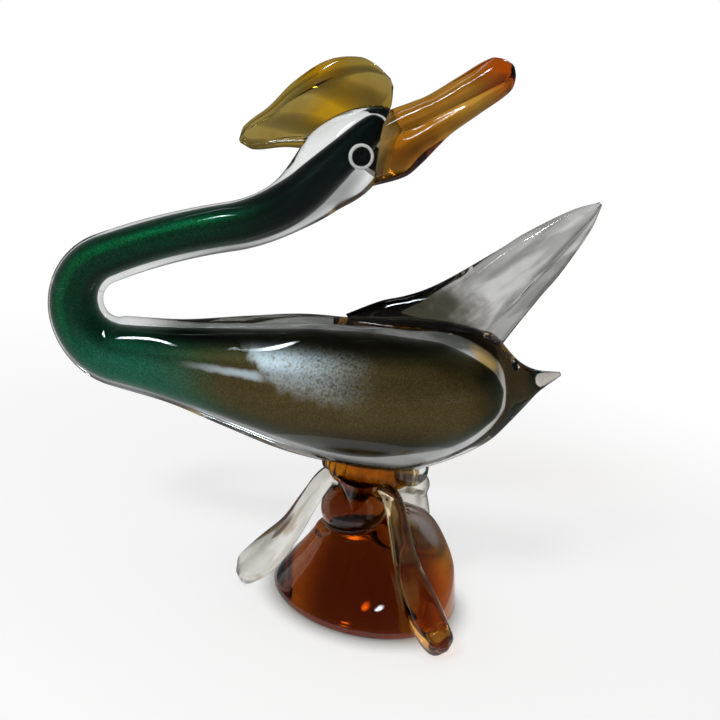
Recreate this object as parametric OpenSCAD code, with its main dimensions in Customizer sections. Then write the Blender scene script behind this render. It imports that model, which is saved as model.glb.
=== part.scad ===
// A cased glass bird: a coloured core under clear glass, looking back over its tail, on an amber stand.
// The middle of the foot's flat underside is the origin. +Z is up and +X points to the tail.

/* [Foot] */
// Radius of the foot at its widest
foot_r = 40; // [37:0.5:44]
// Height of the clear dome over the foot
foot_h = 44; // [41:0.5:47]
// Height of the rounded rim of the foot
rim_h = 3.4; // [2.6:0.1:4.4]
// How far the dome's shoulder leans towards the tail
foot_lean = 2.5; // [1:0.25:4]
// Thickness of the clear glass under the amber bell inside the dome
foot_wall = 0.9; // [0.6:0.1:1.5]
// Thickness of the clear glass before and behind the bell
face_wall = 5; // [4:0.25:6]
// Thickness of the clear glass at both ends of the bell's foot, along the bird
side_wall = 9; // [7.5:0.25:10]
// Thickness of the clear glass at the dome's shoulder, on the side of the tail
shoulder_wall = 11; // [10:0.25:13]
// Diameter of the amber bulb on the bell
bulb_d = 28; // [25:0.5:31]
// Depth of the bulb's underside below the top of the dome
bulb_sink = 19; // [17:0.5:21]
// How far the stem leans from the middle of the foot towards the neck
stem_lean = 11; // [8:0.5:13]

/* [Collar] */
// Thickness of the collar between the bulb and the body
seat_t = 5.5; // [4:0.25:8]
// Length of the crimped amber collar along the bird
collar_l = 38; // [33:0.5:43]
// Width of the collar across the bird
collar_w = 27; // [23:0.5:31]
// How far the collar reaches down over the bulb
collar_wrap = 3; // [2:0.25:4.5]
// How far the collar sits from the stem towards the tail
collar_shift = 3; // [1:0.5:5]
// Depth of the collar's crimps
crimp = 1.1; // [0.6:0.1:1.6]
// Number of crimps round the collar
crimps = 9; // [6:1:12]
// Length of the pointed drip under the collar
drip_l = 17; // [13:0.5:20]
// Width of the drip where it leaves the collar
drip_w = 18; // [14:0.5:21]
// Length of the clear pad beside the collar
pad_l = 26; // [22:0.5:30]

/* [Legs] */
// Thickness of the left and front legs at the knee
leg_d = 11; // [9:0.5:13]
// Width of the rounded pad at a leg's foot
toe_d = 16; // [13:0.5:19]
// Distance from the stem to the root of a leg inside the collar
leg_in = 9.5; // [8:0.5:12]
// Distance from the stem to the bend of the left leg
left_bend = 14; // [13:0.5:16]
// Reach of the left foot from the stem
left_reach = 46; // [43:0.5:49]
// Angle of the left leg round the stem
left_angle = 195; // [190:1:200]
// Distance from the stem to the bend of the front leg
front_bend = 20; // [18:0.5:22]
// Reach of the front foot from the stem
front_reach = 64; // [60:0.5:68]
// Angle of the front leg round the stem
front_angle = -45; // [-50:1:-42]
// Distance from the stem to the bend of the back leg
back_bend = 25.5; // [24:0.5:27]
// Reach of the back leg's pad from the stem
back_reach = 29; // [28:0.5:31]
// Angle of the back leg round the stem
back_angle = 20; // [16:1:24]
// Drop of the back leg's pad below the top of the dome
back_drop = 11; // [9:0.5:13]
// Thickness of the back leg at its knee
back_d = 14; // [12:0.5:16]

/* [Body] */
// Height of the body at its fullest
body_h = 64; // [60:0.5:68]
// Width of the body at its fullest
body_w = 56; // [50:0.5:62]
// Length of the straight body from the rump to the bend of the neck
body_l = 86; // [80:1:92]
// Length of the rump, with the point it is drawn out to
rump_l = 98; // [93:0.5:103]
// Angle through which the rump turns up
rump_angle = 27.5; // [24:0.5:31]
// Place where the rump starts, from the middle of the foot
body_x = -32; // [-36:0.5:-28]

/* [Neck] */
// Diameter of the neck
neck_d = 21; // [18:0.5:24]
// Radius of the loop of the neck, at its middle
loop_r = 20; // [18:0.5:22]
// Angle through which the loop turns
loop_angle = 150; // [145:1:154]
// Length of the neck from the loop to the nape
neck_l = 53; // [48:0.5:60]
// Angle through which the neck sinks over that length
neck_angle = 12; // [8:1:16]
// Length of the nape, where the neck turns up to the head
nape_l = 38; // [34:0.5:42]
// Angle through which the nape turns up
nape_angle = 34; // [28:1:40]

/* [Head] */
// Length of the head
head_l = 42; // [38:0.5:46]
// Height of the head at its fullest
head_h = 31; // [28:0.5:34]
// Width of the head at its fullest
head_w = 27; // [24:0.5:30]
// Diameter of the white eye ring
eye_d = 9.8; // [8.6:0.2:11.6]
// Diameter of the black pupil
pupil_d = 7.2; // [5.6:0.2:7.8]
// How far the eye stands proud of the head
eye_proud = 0.5; // [0.3:0.1:1]
// Distance of the eye from the front of the head
eye_back = 19.5; // [17:0.5:22]
// How far the eye lies below the head's axis
eye_drop = 4; // [2:0.5:6]

/* [Crest] */
// Length of the crest, front to back
crest_l = 63; // [57:0.5:69]
// Height of the crest at its fullest, with the part on the head
crest_h = 32; // [29:0.5:35]
// Thickness of the crest
crest_t = 13; // [10:0.5:16]
// Angle at which the crest falls to the back
crest_angle = 30; // [26:1:34]
// How far the crest's front reaches past the front of the head
crest_ahead = 7; // [5:0.5:9]
// Height of the crest's front over the head's axis
crest_lift = 8.5; // [7:0.5:10]

/* [Bill] */
// Length of the bill from inside the head
bill_l = 70; // [65:0.5:75]
// Height of the bill halfway out
bill_h = 17.5; // [15:0.5:20]
// Width of the bill halfway out
bill_w = 16; // [13:0.5:19]
// Angle of the bill to the floor
bill_angle = 42.5; // [40:0.5:45]
// Angle of the fold between the bill's halves to the floor
fold_angle = 36; // [34:1:38]
// Depth at which the bill starts behind the front of the head
bill_deep = 24; // [22:0.5:26]
// How far the bill starts below the head's axis
bill_drop = 6.5; // [5.5:0.5:7.5]
// Depth at which the fold comes out behind the front of the head
fold_deep = 3; // [1.5:0.5:4.5]
// How far the fold lies there below the head's axis
fold_drop = 8; // [7:0.5:9]

/* [Tail] */
// Length of the tail blade from the body's axis
tail_l = 118; // [108:1:128]
// Width of the blade where it leaves the rump
tail_w = 34; // [30:0.5:38]
// Thickness of the blade where it leaves the rump
tail_t = 14; // [11:0.5:17]
// Angle of the blade to the floor
tail_angle = 52; // [49:1:55]
// Place on the body's axis where the blade starts, from the middle of the foot
tail_x = -10; // [-13:0.5:-7]

/* [Core] */
// Height of the gold core in the body
core_h = 37; // [32:0.5:42]
// Width of the gold core in the body
core_w = 35; // [30:0.5:40]
// Diameter of the green core in the neck
core_neck_d = 11; // [9.5:0.5:12.5]
// Clear glass between the core and the front of the head
core_nose = 6; // [4:0.5:9]
// Clear glass between the core and the rump's point
core_tail = 28; // [25:0.5:31]
// How far the core lies off the bird's line, towards the belly and the outside of the loop
core_shift = 0.6; // [0.2:0.1:1.4]

/* [Hidden] */
$fn = 48;

// Glass colours
clear_glass = [0.82, 0.87, 0.86, 0.45];
amber = [0.72, 0.33, 0.05, 0.85];
honey = [0.83, 0.58, 0.14, 0.85];
green = [0.02, 0.22, 0.12];
olive_gold = [0.36, 0.31, 0.14];

// Sides of a round section, number of sections along a form, and half width of a drawn-out tip
casing_sides = 20;
core_sides = 14;
bit_sides = 14;
base_sides = 32;
casing_steps = 72;
core_steps = 24;
bit_steps = 20;
tip = 0.02 * foot_r;

// Heights up the stand: the bulb's middle, the collar's lower edge and the body's axis
bulb_z = foot_h - bulb_sink + bulb_d / 2;
collar_low = bulb_z + bulb_d / 2 - collar_wrap;
body_z = bulb_z + bulb_d / 2 + seat_t + 0.477 * body_h;

// The bird's line through the rump, body, loop, neck, nape and head: each stretch is a length and a turn
loop_l = loop_r * loop_angle * PI / 180;
line = [
    [rump_l, -rump_angle],
    [body_l, 0],
    [loop_l, -loop_angle],
    [neck_l, -neck_angle],
    [nape_l, nape_angle],
    [head_l, 0]
];
loop_s = rump_l + body_l;
neck_s = loop_s + loop_l;
nape_s = neck_s + neck_l;
head_s = nape_s + nape_l;
line_l = head_s + head_l;
head_heading = 180 - loop_angle - neck_angle + nape_angle;

// A place is a point [x, z] in the mid-plane and a heading: the place after a stretch, or a share of it
function along(p, h, l, turn) = turn == 0
    ? p + l * [cos(h), sin(h)]
    : p + l * 180 / (turn * PI) * [sin(h + turn) - sin(h), cos(h) - cos(h + turn)];
function after(place, stretch, share = 1) = [
    along(place[0], place[1], stretch[0] * share, stretch[1] * share),
    place[1] + stretch[1] * share
];
// The place on the line at a distance from the rump's tip
function line_at(s, place = rump_tip, i = 0) =
    (i == len(line) - 1 || s <= line[i][0])
    ? after(place, line[i], s / line[i][0])
    : line_at(s - line[i][0], after(place, line[i]), i + 1);

// The rump's tip lies one rump length behind the start of the straight body
rump_end = after([[body_x, body_z], 0], [rump_l, rump_angle]);
rump_tip = [rump_end[0], rump_end[1] + 180];
head_start = line_at(head_s);
function head_point(forward, up) = head_start[0]
    + forward * [cos(head_heading), sin(head_heading)]
    + up * [-sin(head_heading), cos(head_heading)];

// Smooth run through keys of [place, size, size]
function slope(keys, i, j) =
    let (a = max(i - 1, 0), b = min(i + 1, len(keys) - 1))
    (keys[b][j] - keys[a][j]) / (keys[b][0] - keys[a][0]);
function size_at(keys, s, j, i = 0) =
    (i < len(keys) - 2 && s > keys[i + 1][0])
    ? size_at(keys, s, j, i + 1)
    : let (
        d = keys[i + 1][0] - keys[i][0],
        t = (s - keys[i][0]) / d,
        rise = t * t * (3 - 2 * t)
    )
    keys[i][j] * (1 - rise) + keys[i + 1][j] * rise
        + d * slope(keys, i, j) * t * (1 - t) * (1 - t)
        - d * slope(keys, i + 1, j) * t * t * (1 - t);

// A section is a middle [x, z], a heading, a half height and a half width, and a form is a list of them
function section(place, keys, s) = [place[0], place[1], size_at(keys, s, 1), size_at(keys, s, 2)];
function spaced(a, b, n) = [for (i = [0 : n]) a + (b - a) * i / n];
// Sections along the bird's line, whose keys also give the lift off it to the inside of the loop
function on_line(keys, from, to, n) = [
    for (s = spaced(from, to, n))
        let (place = line_at(s), h = place[1])
        section([place[0] + size_at(keys, s, 3) * [sin(h), -cos(h)], h], keys, s)
];
function lifted(keys, lift) = [for (k = keys) concat(k, lift)];
function straight(start, heading, keys) = [
    for (s = spaced(keys[0][0], keys[len(keys) - 1][0], bit_steps))
        section([start + s * [cos(heading), sin(heading)], heading], keys, s)
];
function ring(c, sides, waves, depth) = [
    for (j = [0 : sides - 1])
        let (t = 360 * j / sides, k = 1 + depth * cos(waves * t))
        [
            c[0][0] - sin(c[1]) * c[2] * k * cos(t),
            c[3] * k * sin(t),
            c[0][1] + cos(c[1]) * c[2] * k * cos(t)
        ]
];
function middle(c) = [c[0][0], 0, c[0][1]];

// A skin over the sections, closed at both ends
module form(sections, sides, waves = 0, depth = 0) {
    m = len(sections);
    last = m * sides + 1;
    points = concat(
        [middle(sections[0])],
        [for (c = sections) each ring(c, sides, waves, depth)],
        [middle(sections[m - 1])]
    );
    walls = [
        for (i = [0 : m - 2], j = [0 : sides - 1])
            let (
                a = 1 + i * sides + j,
                b = 1 + i * sides + (j + 1) % sides
            )
            each [[a, b, b + sides], [a, b + sides, a + sides]]
    ];
    start_cap = [for (j = [0 : sides - 1]) [0, 1 + (j + 1) % sides, 1 + j]];
    end_cap = [
        for (j = [0 : sides - 1])
            [last, last - sides + j, last - sides + (j + 1) % sides]
    ];
    polyhedron(points = points, faces = concat(start_cap, walls, end_cap));
}

// Half height and half width of the clear casing along the line, and the lift of the rump's full back
casing_keys = concat([
    [0, tip, tip, 0],
    [0.1 * rump_l, 0.073 * body_h, 0.075 * body_w, 0],
    [0.16 * rump_l, 0.145 * body_h, 0.145 * body_w, 0.01 * body_h],
    [0.24 * rump_l, 0.287 * body_h, 0.26 * body_w, 0.06 * body_h],
    [0.33 * rump_l, 0.375 * body_h, 0.36 * body_w, 0.047 * body_h],
    [0.46 * rump_l, 0.445 * body_h, 0.44 * body_w, 0.03 * body_h]
], lifted([
    [0.65 * rump_l, 0.5 * body_h, 0.49 * body_w],
    [0.76 * rump_l, 0.494 * body_h, 0.5 * body_w],
    [0.88 * rump_l, 0.48 * body_h, 0.5 * body_w],
    [rump_l + 0.15 * body_l, 0.448 * body_h, 0.46 * body_w],
    [rump_l + 0.43 * body_l, 0.367 * body_h, 0.38 * body_w],
    [rump_l + 0.72 * body_l, 0.276 * body_h, 0.3 * body_w],
    [loop_s, 0.7 * neck_d, 0.7 * neck_d],
    [loop_s + 0.4 * loop_l, 0.55 * neck_d, 0.55 * neck_d],
    [neck_s, 0.49 * neck_d, 0.49 * neck_d],
    [nape_s, 0.47 * neck_d, 0.47 * neck_d],
    [nape_s + 0.6 * nape_l, 0.5 * neck_d, 0.49 * neck_d],
    [head_s, 0.42 * head_h, 0.43 * head_w],
    [head_s + 0.27 * head_l, 0.5 * head_h, 0.5 * head_w],
    [head_s + 0.48 * head_l, 0.49 * head_h, 0.49 * head_w],
    [head_s + 0.7 * head_l, 0.4 * head_h, 0.4 * head_w],
    [head_s + 0.88 * head_l, 0.27 * head_h, 0.27 * head_w],
    [head_s + 0.97 * head_l, 0.15 * head_h, 0.15 * head_w],
    [line_l, tip, tip]
], 0));
casing = on_line(casing_keys, 0, line_l, casing_steps);
function casing_index(s) = round(s / line_l * casing_steps);
module casing_part(from, to) {
    form([for (i = [casing_index(from) : casing_index(to)]) casing[i]], casing_sides);
}
module body_part() { casing_part(0, loop_s); }
module head_part() { casing_part(nape_s, line_l); }

// The coloured core, gold in the body and green from the breast to the head, on the line only at the rump
core_join = rump_l + 0.29 * body_l;
core_end = line_l - core_nose;
core_keys = concat([
    [core_tail, tip, tip, 0],
    [core_tail + 0.06 * core_h, 0.15 * core_h, 0.15 * core_w, 0],
    [core_tail + 0.17 * core_h, 0.25 * core_h, 0.25 * core_w, 0],
    [core_tail + 0.4 * core_h, 0.37 * core_h, 0.37 * core_w, 0],
    [core_tail + 0.65 * core_h, 0.445 * core_h, 0.445 * core_w, 0]
], lifted([
    [0.77 * rump_l, 0.5 * core_h, 0.5 * core_w],
    [rump_l + 0.08 * body_l, 0.46 * core_h, 0.46 * core_w],
    [core_join, 0.4 * core_h, 0.4 * core_w],
    [rump_l + 0.65 * body_l, 0.29 * core_h, 0.3 * core_w],
    [loop_s, 0.7 * core_neck_d, 0.7 * core_neck_d],
    [neck_s, 0.5 * core_neck_d, 0.5 * core_neck_d],
    [nape_s, 0.5 * core_neck_d, 0.5 * core_neck_d],
    [head_s, 0.55 * core_neck_d, 0.55 * core_neck_d],
    [head_s + 0.5 * head_l, 0.44 * core_neck_d, 0.44 * core_neck_d],
    [core_end - 0.12 * head_l, 0.36 * core_neck_d, 0.36 * core_neck_d],
    [core_end - 0.03 * head_l, 0.24 * core_neck_d, 0.24 * core_neck_d],
    [core_end, tip, tip]
], -core_shift));
module core_part(from, to, steps) { form(on_line(core_keys, from, to, steps), core_sides); }
module body_core_form() { core_part(core_tail, core_join, core_steps); }
module neck_core_form() { core_part(core_join, core_end, 2 * core_steps); }

module body_core() { color(olive_gold) body_core_form(); }
module neck_core() { color(green) neck_core_form(); }
module body_casing() {
    color(clear_glass) difference() {
        casing_part(0, line_l);
        body_core_form();
        neck_core_form();
    }
}

// The tail blade, drawn up from the back in the mid-plane
tail_keys = [
    [0.12 * tail_l, tail_w, 0.5 * tail_t],
    [0.24 * tail_l, 0.84 * tail_w, 0.62 * tail_t],
    [0.31 * tail_l, 0.7 * tail_w, 0.62 * tail_t],
    [0.38 * tail_l, 0.59 * tail_w, 0.56 * tail_t],
    [0.47 * tail_l, 0.5 * tail_w, 0.5 * tail_t],
    [0.66 * tail_l, 0.37 * tail_w, 0.36 * tail_t],
    [0.75 * tail_l, 0.32 * tail_w, 0.3 * tail_t],
    [0.92 * tail_l, 0.16 * tail_w, 0.18 * tail_t],
    [tail_l, tip, tip]
];
module tail_fin() {
    color(clear_glass) difference() {
        form(straight([tail_x, body_z], tail_angle, tail_keys), bit_sides);
        body_part();
    }
}

// The crest, a leaf that lies back over the head
crest_keys = [
    [0, 2 * tip, tip],
    [0.05 * crest_l, 0.25 * crest_h, 0.22 * crest_t],
    [0.13 * crest_l, 0.41 * crest_h, 0.38 * crest_t],
    [0.32 * crest_l, 0.51 * crest_h, 0.5 * crest_t],
    [0.56 * crest_l, 0.42 * crest_h, 0.46 * crest_t],
    [0.75 * crest_l, 0.26 * crest_h, 0.38 * crest_t],
    [0.94 * crest_l, 0.15 * crest_h, 0.26 * crest_t],
    [crest_l, tip, tip]
];
module crest_form() {
    form(straight(head_point(head_l + crest_ahead, crest_lift), 180 + crest_angle, crest_keys), bit_sides);
}
module crest() {
    color(honey) difference() {
        crest_form();
        head_part();
    }
}

// The bill, one form folded into an upper and a lower half
bill_keys = [
    [0, 0.5 * bill_h, 0.45 * bill_w],
    [0.19 * bill_l, 0.73 * bill_h, 0.6 * bill_w],
    [0.3 * bill_l, 0.69 * bill_h, 0.6 * bill_w],
    [0.43 * bill_l, 0.57 * bill_h, 0.56 * bill_w],
    [0.53 * bill_l, 0.49 * bill_h, 0.5 * bill_w],
    [0.72 * bill_l, 0.46 * bill_h, 0.45 * bill_w],
    [0.92 * bill_l, 0.41 * bill_h, 0.42 * bill_w],
    [0.98 * bill_l, 0.22 * bill_h, 0.24 * bill_w],
    [bill_l, tip, tip]
];
fold_point = head_point(head_l - fold_deep, -fold_drop);
module bill_form() {
    form(straight(head_point(head_l - bill_deep, -bill_drop), bill_angle, bill_keys), bit_sides);
}
// Everything on the upper side of the fold
module above_fold() {
    translate([fold_point[0], 0, fold_point[1]])
        rotate([0, -fold_angle, 0])
        translate([-bill_l, -bill_l, 0])
        cube(2 * bill_l);
}
module upper_bill() {
    color(amber) difference() {
        intersection() {
            bill_form();
            above_fold();
        }
        head_part();
        crest_form();
    }
}
module lower_bill() {
    color(amber) difference() {
        bill_form();
        above_fold();
        head_part();
        crest_form();
    }
}

// The eyes, a slice of cane pressed square onto each side of the head
eye_s = line_l - eye_back;
eye_point = head_point(head_l - eye_back, -eye_drop);
eye_half_h = size_at(casing_keys, eye_s, 1);
eye_half_w = size_at(casing_keys, eye_s, 2);
eye_y = eye_half_w * sqrt(1 - pow(eye_drop / eye_half_h, 2));
// How fast the head narrows to the front there
narrowing = size_at(casing_keys, eye_s - 1, 2) - size_at(casing_keys, eye_s, 2);
eye_forward = narrowing * eye_y * eye_y / pow(eye_half_w, 3);
eye_down = eye_drop / pow(eye_half_h, 2);
eye_side = eye_y / pow(eye_half_w, 2);
eye_facing = [
    eye_forward * cos(head_heading) + eye_down * sin(head_heading),
    eye_forward * sin(head_heading) - eye_down * cos(head_heading)
];
// A round slice that reaches from inside the head to the eye's face, longer at both ends by more
module eye_slice(side, d, more = 0) {
    outward = [eye_facing[0], -side * eye_side, eye_facing[1]];
    facing = outward / norm(outward);
    translate([eye_point[0], -side * eye_y, eye_point[1]])
        rotate(a = acos(facing[2]), v = cross([0, 0, 1], facing))
        translate([0, 0, -eye_d / 2 - more])
        cylinder(h = eye_d / 2 + eye_proud + 2 * more, d = d);
}
module eye_ring(side) {
    color("white") difference() {
        eye_slice(side, eye_d);
        eye_slice(side, pupil_d, eye_proud);
        head_part();
    }
}
module eye_pupil(side) {
    color("black") difference() {
        eye_slice(side, pupil_d);
        head_part();
    }
}
module near_eye_ring() { eye_ring(1); }
module near_eye_pupil() { eye_pupil(1); }
module far_eye_ring() { eye_ring(-1); }
module far_eye_pupil() { eye_pupil(-1); }

// The amber bulb and the bell under it, cased in the clear dome of the foot
module bulb_form() { translate([-stem_lean, 0, bulb_z]) sphere(d = bulb_d); }
// Level sections up the stand, from lists of height, middle, half length and half width
function stacked(levels) = [for (v = levels) [[v[1], v[0]], 90, v[2], v[3]]];
base_levels = [
    [0, 0, foot_r - 0.7 * rim_h, foot_r - 0.7 * rim_h],
    [0.35 * rim_h, 0, foot_r - 0.23 * rim_h, foot_r - 0.23 * rim_h],
    [rim_h, 0, foot_r, foot_r],
    [0.15 * foot_h, 0.2 * foot_lean, 0.97 * foot_r, 0.96 * foot_r],
    [0.23 * foot_h, 0.55 * foot_lean, 0.93 * foot_r, 0.91 * foot_r],
    [0.34 * foot_h, foot_lean, 0.875 * foot_r, 0.82 * foot_r],
    [0.45 * foot_h, 1.35 * foot_lean, 0.82 * foot_r, 0.71 * foot_r],
    [0.57 * foot_h, 1.45 * foot_lean, 0.755 * foot_r, 0.58 * foot_r],
    [0.68 * foot_h, 1.45 * foot_lean, 0.685 * foot_r, 0.45 * foot_r],
    [0.75 * foot_h, 2.8 * foot_lean, 0.55 * foot_r, 0.385 * foot_r],
    [0.82 * foot_h, 4.1 * foot_lean, 0.41 * foot_r, 0.33 * foot_r],
    [0.9 * foot_h, 4.65 * foot_lean, 0.29 * foot_r, 0.25 * foot_r],
    [0.97 * foot_h, 4.3 * foot_lean, 0.18 * foot_r, 0.16 * foot_r],
    [foot_h, 3.8 * foot_lean, 0.08 * foot_r, 0.07 * foot_r]
];
// The bell follows the dome up to its shoulder, with more clear glass there on the side of the tail
function bell_level(v) =
    let (more = min(1, 1.6 * v[0] / foot_h) * (shoulder_wall - side_wall) / 3)
    [foot_wall + 0.87 * v[0], v[1] - more, v[2] - side_wall - 2 * more, v[3] - face_wall];
bell_levels = concat(
    [for (v = base_levels) if (v[3] > 0.3 * foot_r) bell_level(v)],
    [[0.79 * foot_h, 3.5 * foot_lean, tip, tip]]
);
module base_form() { form(stacked(base_levels), base_sides); }
module bell_form() { form(stacked(bell_levels), base_sides); }
module stem_bulb() { color(amber) bulb_form(); }
module base_core() {
    color(amber) difference() {
        bell_form();
        bulb_form();
    }
}
module base_casing() {
    color(clear_glass) difference() {
        base_form();
        bell_form();
        bulb_form();
    }
}

// The crimped collar that carries the body on the bulb, with its drip and the clear pad beside it
collar_x = collar_shift - stem_lean;
collar_h = body_z - collar_low;
function collar_section(level, share) = [
    [collar_x, collar_low + level * collar_h], 90, share * collar_l / 2, share * collar_w / 2
];
module collar_form() {
    form([
        collar_section(0, 0.62),
        collar_section(0.05, 0.8),
        collar_section(0.13, 0.96),
        collar_section(0.23, 1),
        collar_section(1, 0.6)
    ], base_sides, crimps, crimp / collar_w);
}
module collar() {
    color(amber) difference() {
        collar_form();
        body_part();
        bulb_form();
    }
}
// The drip's root lies under the collar's near edge
drip_root = collar_low + 0.15 * collar_h;
module drip_form() {
    translate([-stem_lean, -0.43 * collar_w, drip_root - drip_l])
        cylinder(h = drip_l, d1 = tip, d2 = drip_w);
}
module collar_drip() {
    color(amber) difference() {
        drip_form();
        collar_form();
        bulb_form();
        body_part();
    }
}
pad_x = collar_x + 0.32 * collar_l;
function pad_section(level, share) = [
    [pad_x + (1 - share) * 0.23 * pad_l, collar_low + level * collar_h],
    90, share * 0.5 * pad_l, share * 0.42 * pad_l
];
module pad_form() {
    form([
        pad_section(0.08, 0.3),
        pad_section(0.12, 0.62),
        pad_section(0.2, 0.95),
        pad_section(0.3, 1),
        pad_section(1, 0.5)
    ], bit_sides);
}
module seat_pad() {
    color(clear_glass) difference() {
        pad_form();
        collar_form();
        bulb_form();
        body_part();
    }
}

// The clear legs run from the collar down to a rounded pad, two to the floor and one to the dome's shoulder
leg_top = collar_low + 0.04 * collar_h;
toe_z = 0.36 * toe_d;
// Shares of the way: along the leg, out from its bend and down to its pad, with the root inside the bend
function leg_way(root) = [
    [0, root, -0.02],
    [0.12, 0, 0],
    [0.34, 0.18, 0.24],
    [0.55, 0.34, 0.49],
    [0.74, 0.53, 0.7],
    [0.86, 0.74, 0.89],
    [0.94, 0.9, 0.985],
    [1, 1, 1]
];
// Half thickness and half width of the leg, by the share of the way along it
function leg_keys(knee_d) = [
    [0, 0.4 * knee_d, 0.4 * knee_d],
    [0.3, 0.42 * knee_d, 0.45 * knee_d],
    [0.55, 0.5 * knee_d, 0.55 * knee_d],
    [0.8, 0.48 * toe_d, 0.5 * toe_d],
    [0.9, 0.46 * toe_d, 0.47 * toe_d],
    [0.97, 0.32 * toe_d, 0.34 * toe_d],
    [1, tip, tip]
];
function leg_point(bend, reach, toe, t) =
    let (way = leg_way((leg_in - bend) / (reach - bend)))
    [
        bend + (reach - bend) * size_at(way, t, 1),
        leg_top - (leg_top - toe) * size_at(way, t, 2)
    ];
function leg_heading(bend, reach, toe, t) =
    let (d = leg_point(bend, reach, toe, min(t + 0.05, 1)) - leg_point(bend, reach, toe, max(t - 0.05, 0)))
    atan2(d[1], d[0]);
module leg_form(bend, reach, toe, knee_d) {
    form([
        for (t = spaced(0, 1, bit_steps))
            section([leg_point(bend, reach, toe, t), leg_heading(bend, reach, toe, t)], leg_keys(knee_d), t)
    ], bit_sides);
}
module leg(bend, reach, turn, toe, knee_d) {
    color(clear_glass) difference() {
        translate([-stem_lean, 0, 0]) rotate([0, 0, turn]) leg_form(bend, reach, toe, knee_d);
        base_form();
        bulb_form();
        collar_form();
        drip_form();
        pad_form();
        body_part();
    }
}
module left_leg() { leg(left_bend, left_reach, left_angle, toe_z, leg_d); }
module front_leg() { leg(front_bend, front_reach, front_angle, toe_z, leg_d); }
module back_leg() { leg(back_bend, back_reach, back_angle, foot_h - back_drop, back_d); }

body_core();
neck_core();
body_casing();
tail_fin();
crest();
upper_bill();
lower_bill();
near_eye_ring();
near_eye_pupil();
far_eye_ring();
far_eye_pupil();
collar();
collar_drip();
seat_pad();
stem_bulb();
base_core();
base_casing();
left_leg();
front_leg();
back_leg();
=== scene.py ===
# %% [markdown]
# # A cased glass bird
# The bird is solid art glass: a green and gold core under a thick clear casing, with an amber crest and
# bill, on an amber stand with clear legs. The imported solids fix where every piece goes. This lesson gives
# each piece a smooth skin and a glass finish. Sizes are in millimetres until a mesh is made, where MM turns
# them into metres.

# %% Load the frame
import math

import bmesh
import bpy
import numpy as np
from mathutils import Matrix, Vector


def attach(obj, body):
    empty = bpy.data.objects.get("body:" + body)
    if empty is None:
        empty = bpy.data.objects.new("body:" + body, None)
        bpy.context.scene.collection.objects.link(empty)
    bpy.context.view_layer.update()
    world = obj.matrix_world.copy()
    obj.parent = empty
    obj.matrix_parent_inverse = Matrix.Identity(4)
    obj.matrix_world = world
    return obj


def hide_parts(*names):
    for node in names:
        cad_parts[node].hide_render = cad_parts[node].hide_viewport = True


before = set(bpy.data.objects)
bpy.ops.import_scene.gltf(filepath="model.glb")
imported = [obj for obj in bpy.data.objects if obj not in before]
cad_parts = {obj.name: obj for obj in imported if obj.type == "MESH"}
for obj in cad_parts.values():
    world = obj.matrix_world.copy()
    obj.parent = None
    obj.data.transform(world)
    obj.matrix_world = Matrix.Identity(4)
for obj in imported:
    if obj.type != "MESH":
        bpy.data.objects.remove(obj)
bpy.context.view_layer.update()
MM = 0.001

# %% [markdown]
# ## The bird's line
# Rump, body, loop, neck, nape and head follow one line in the mid-plane. It could be a curve object, but a
# short list of arcs, each a length and a turn, is exact, and it is how the solids are laid out, so the two
# agree.

# %% The line
RUMP_L, BODY_L, NECK_L, NAPE_L, HEAD_L = 98, 86, 53, 38, 42
RUMP_TURN, LOOP_TURN, NECK_TURN, NAPE_TURN = 27.5, 150, 12, 34
LOOP_R = 20
LOOP_L = LOOP_R * math.radians(LOOP_TURN)
BODY_X, BODY_Z = -32, 89.028
LINE = [
    (RUMP_L, -RUMP_TURN), (BODY_L, 0), (LOOP_L, -LOOP_TURN), (NECK_L, -NECK_TURN), (NAPE_L, NAPE_TURN),
    (HEAD_L, 0)]
LOOP_S, NECK_S, NAPE_S, HEAD_S, LINE_L = np.cumsum([length for length, turn in LINE])[1:]
HEADING = 180 - LOOP_TURN - NECK_TURN + NAPE_TURN


def facing(heading):
    """The way ahead and the way up, in the mid-plane, for a heading in degrees."""
    a = math.radians(heading)
    return np.array([math.cos(a), math.sin(a)]), np.array([-math.sin(a), math.cos(a)])


def along(point, heading, length, turn):
    """The point at the end of an arc."""
    if turn == 0:
        return point + length * facing(heading)[0]
    return point - length / math.radians(turn) * (facing(heading + turn)[1] - facing(heading)[1])


RUMP_TIP = along(np.array([BODY_X, BODY_Z]), 0, RUMP_L, RUMP_TURN)


def line_at(s):
    """Point and heading on the line, at a distance from the rump's tip."""
    point, heading = RUMP_TIP, RUMP_TURN + 180
    for length, turn in LINE[:-1]:
        if s <= length:
            break
        point, heading, s = along(point, heading, length, turn), heading + turn, s - length
    else:
        length, turn = LINE[-1]
    return along(point, heading, s, turn * s / length), heading + turn * s / length


def head_point(forward, up):
    """A point in the mid-plane, measured from the start of the head."""
    ahead, above = facing(HEADING)
    return line_at(HEAD_S)[0] + forward * ahead + up * above


print("line of", round(LINE_L), "mm, head at", line_at(HEAD_S)[0].round(1), line_at(LINE_L)[0].round(1))

# %% [markdown]
# ## Skins over sections
# Hot glass has no flat faces and no corners, so nearly every piece is a loft: rings of points round a path,
# with sizes that run smoothly through a few keys. A curve with a bevel is quicker, but it keeps one section,
# and these change.

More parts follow.
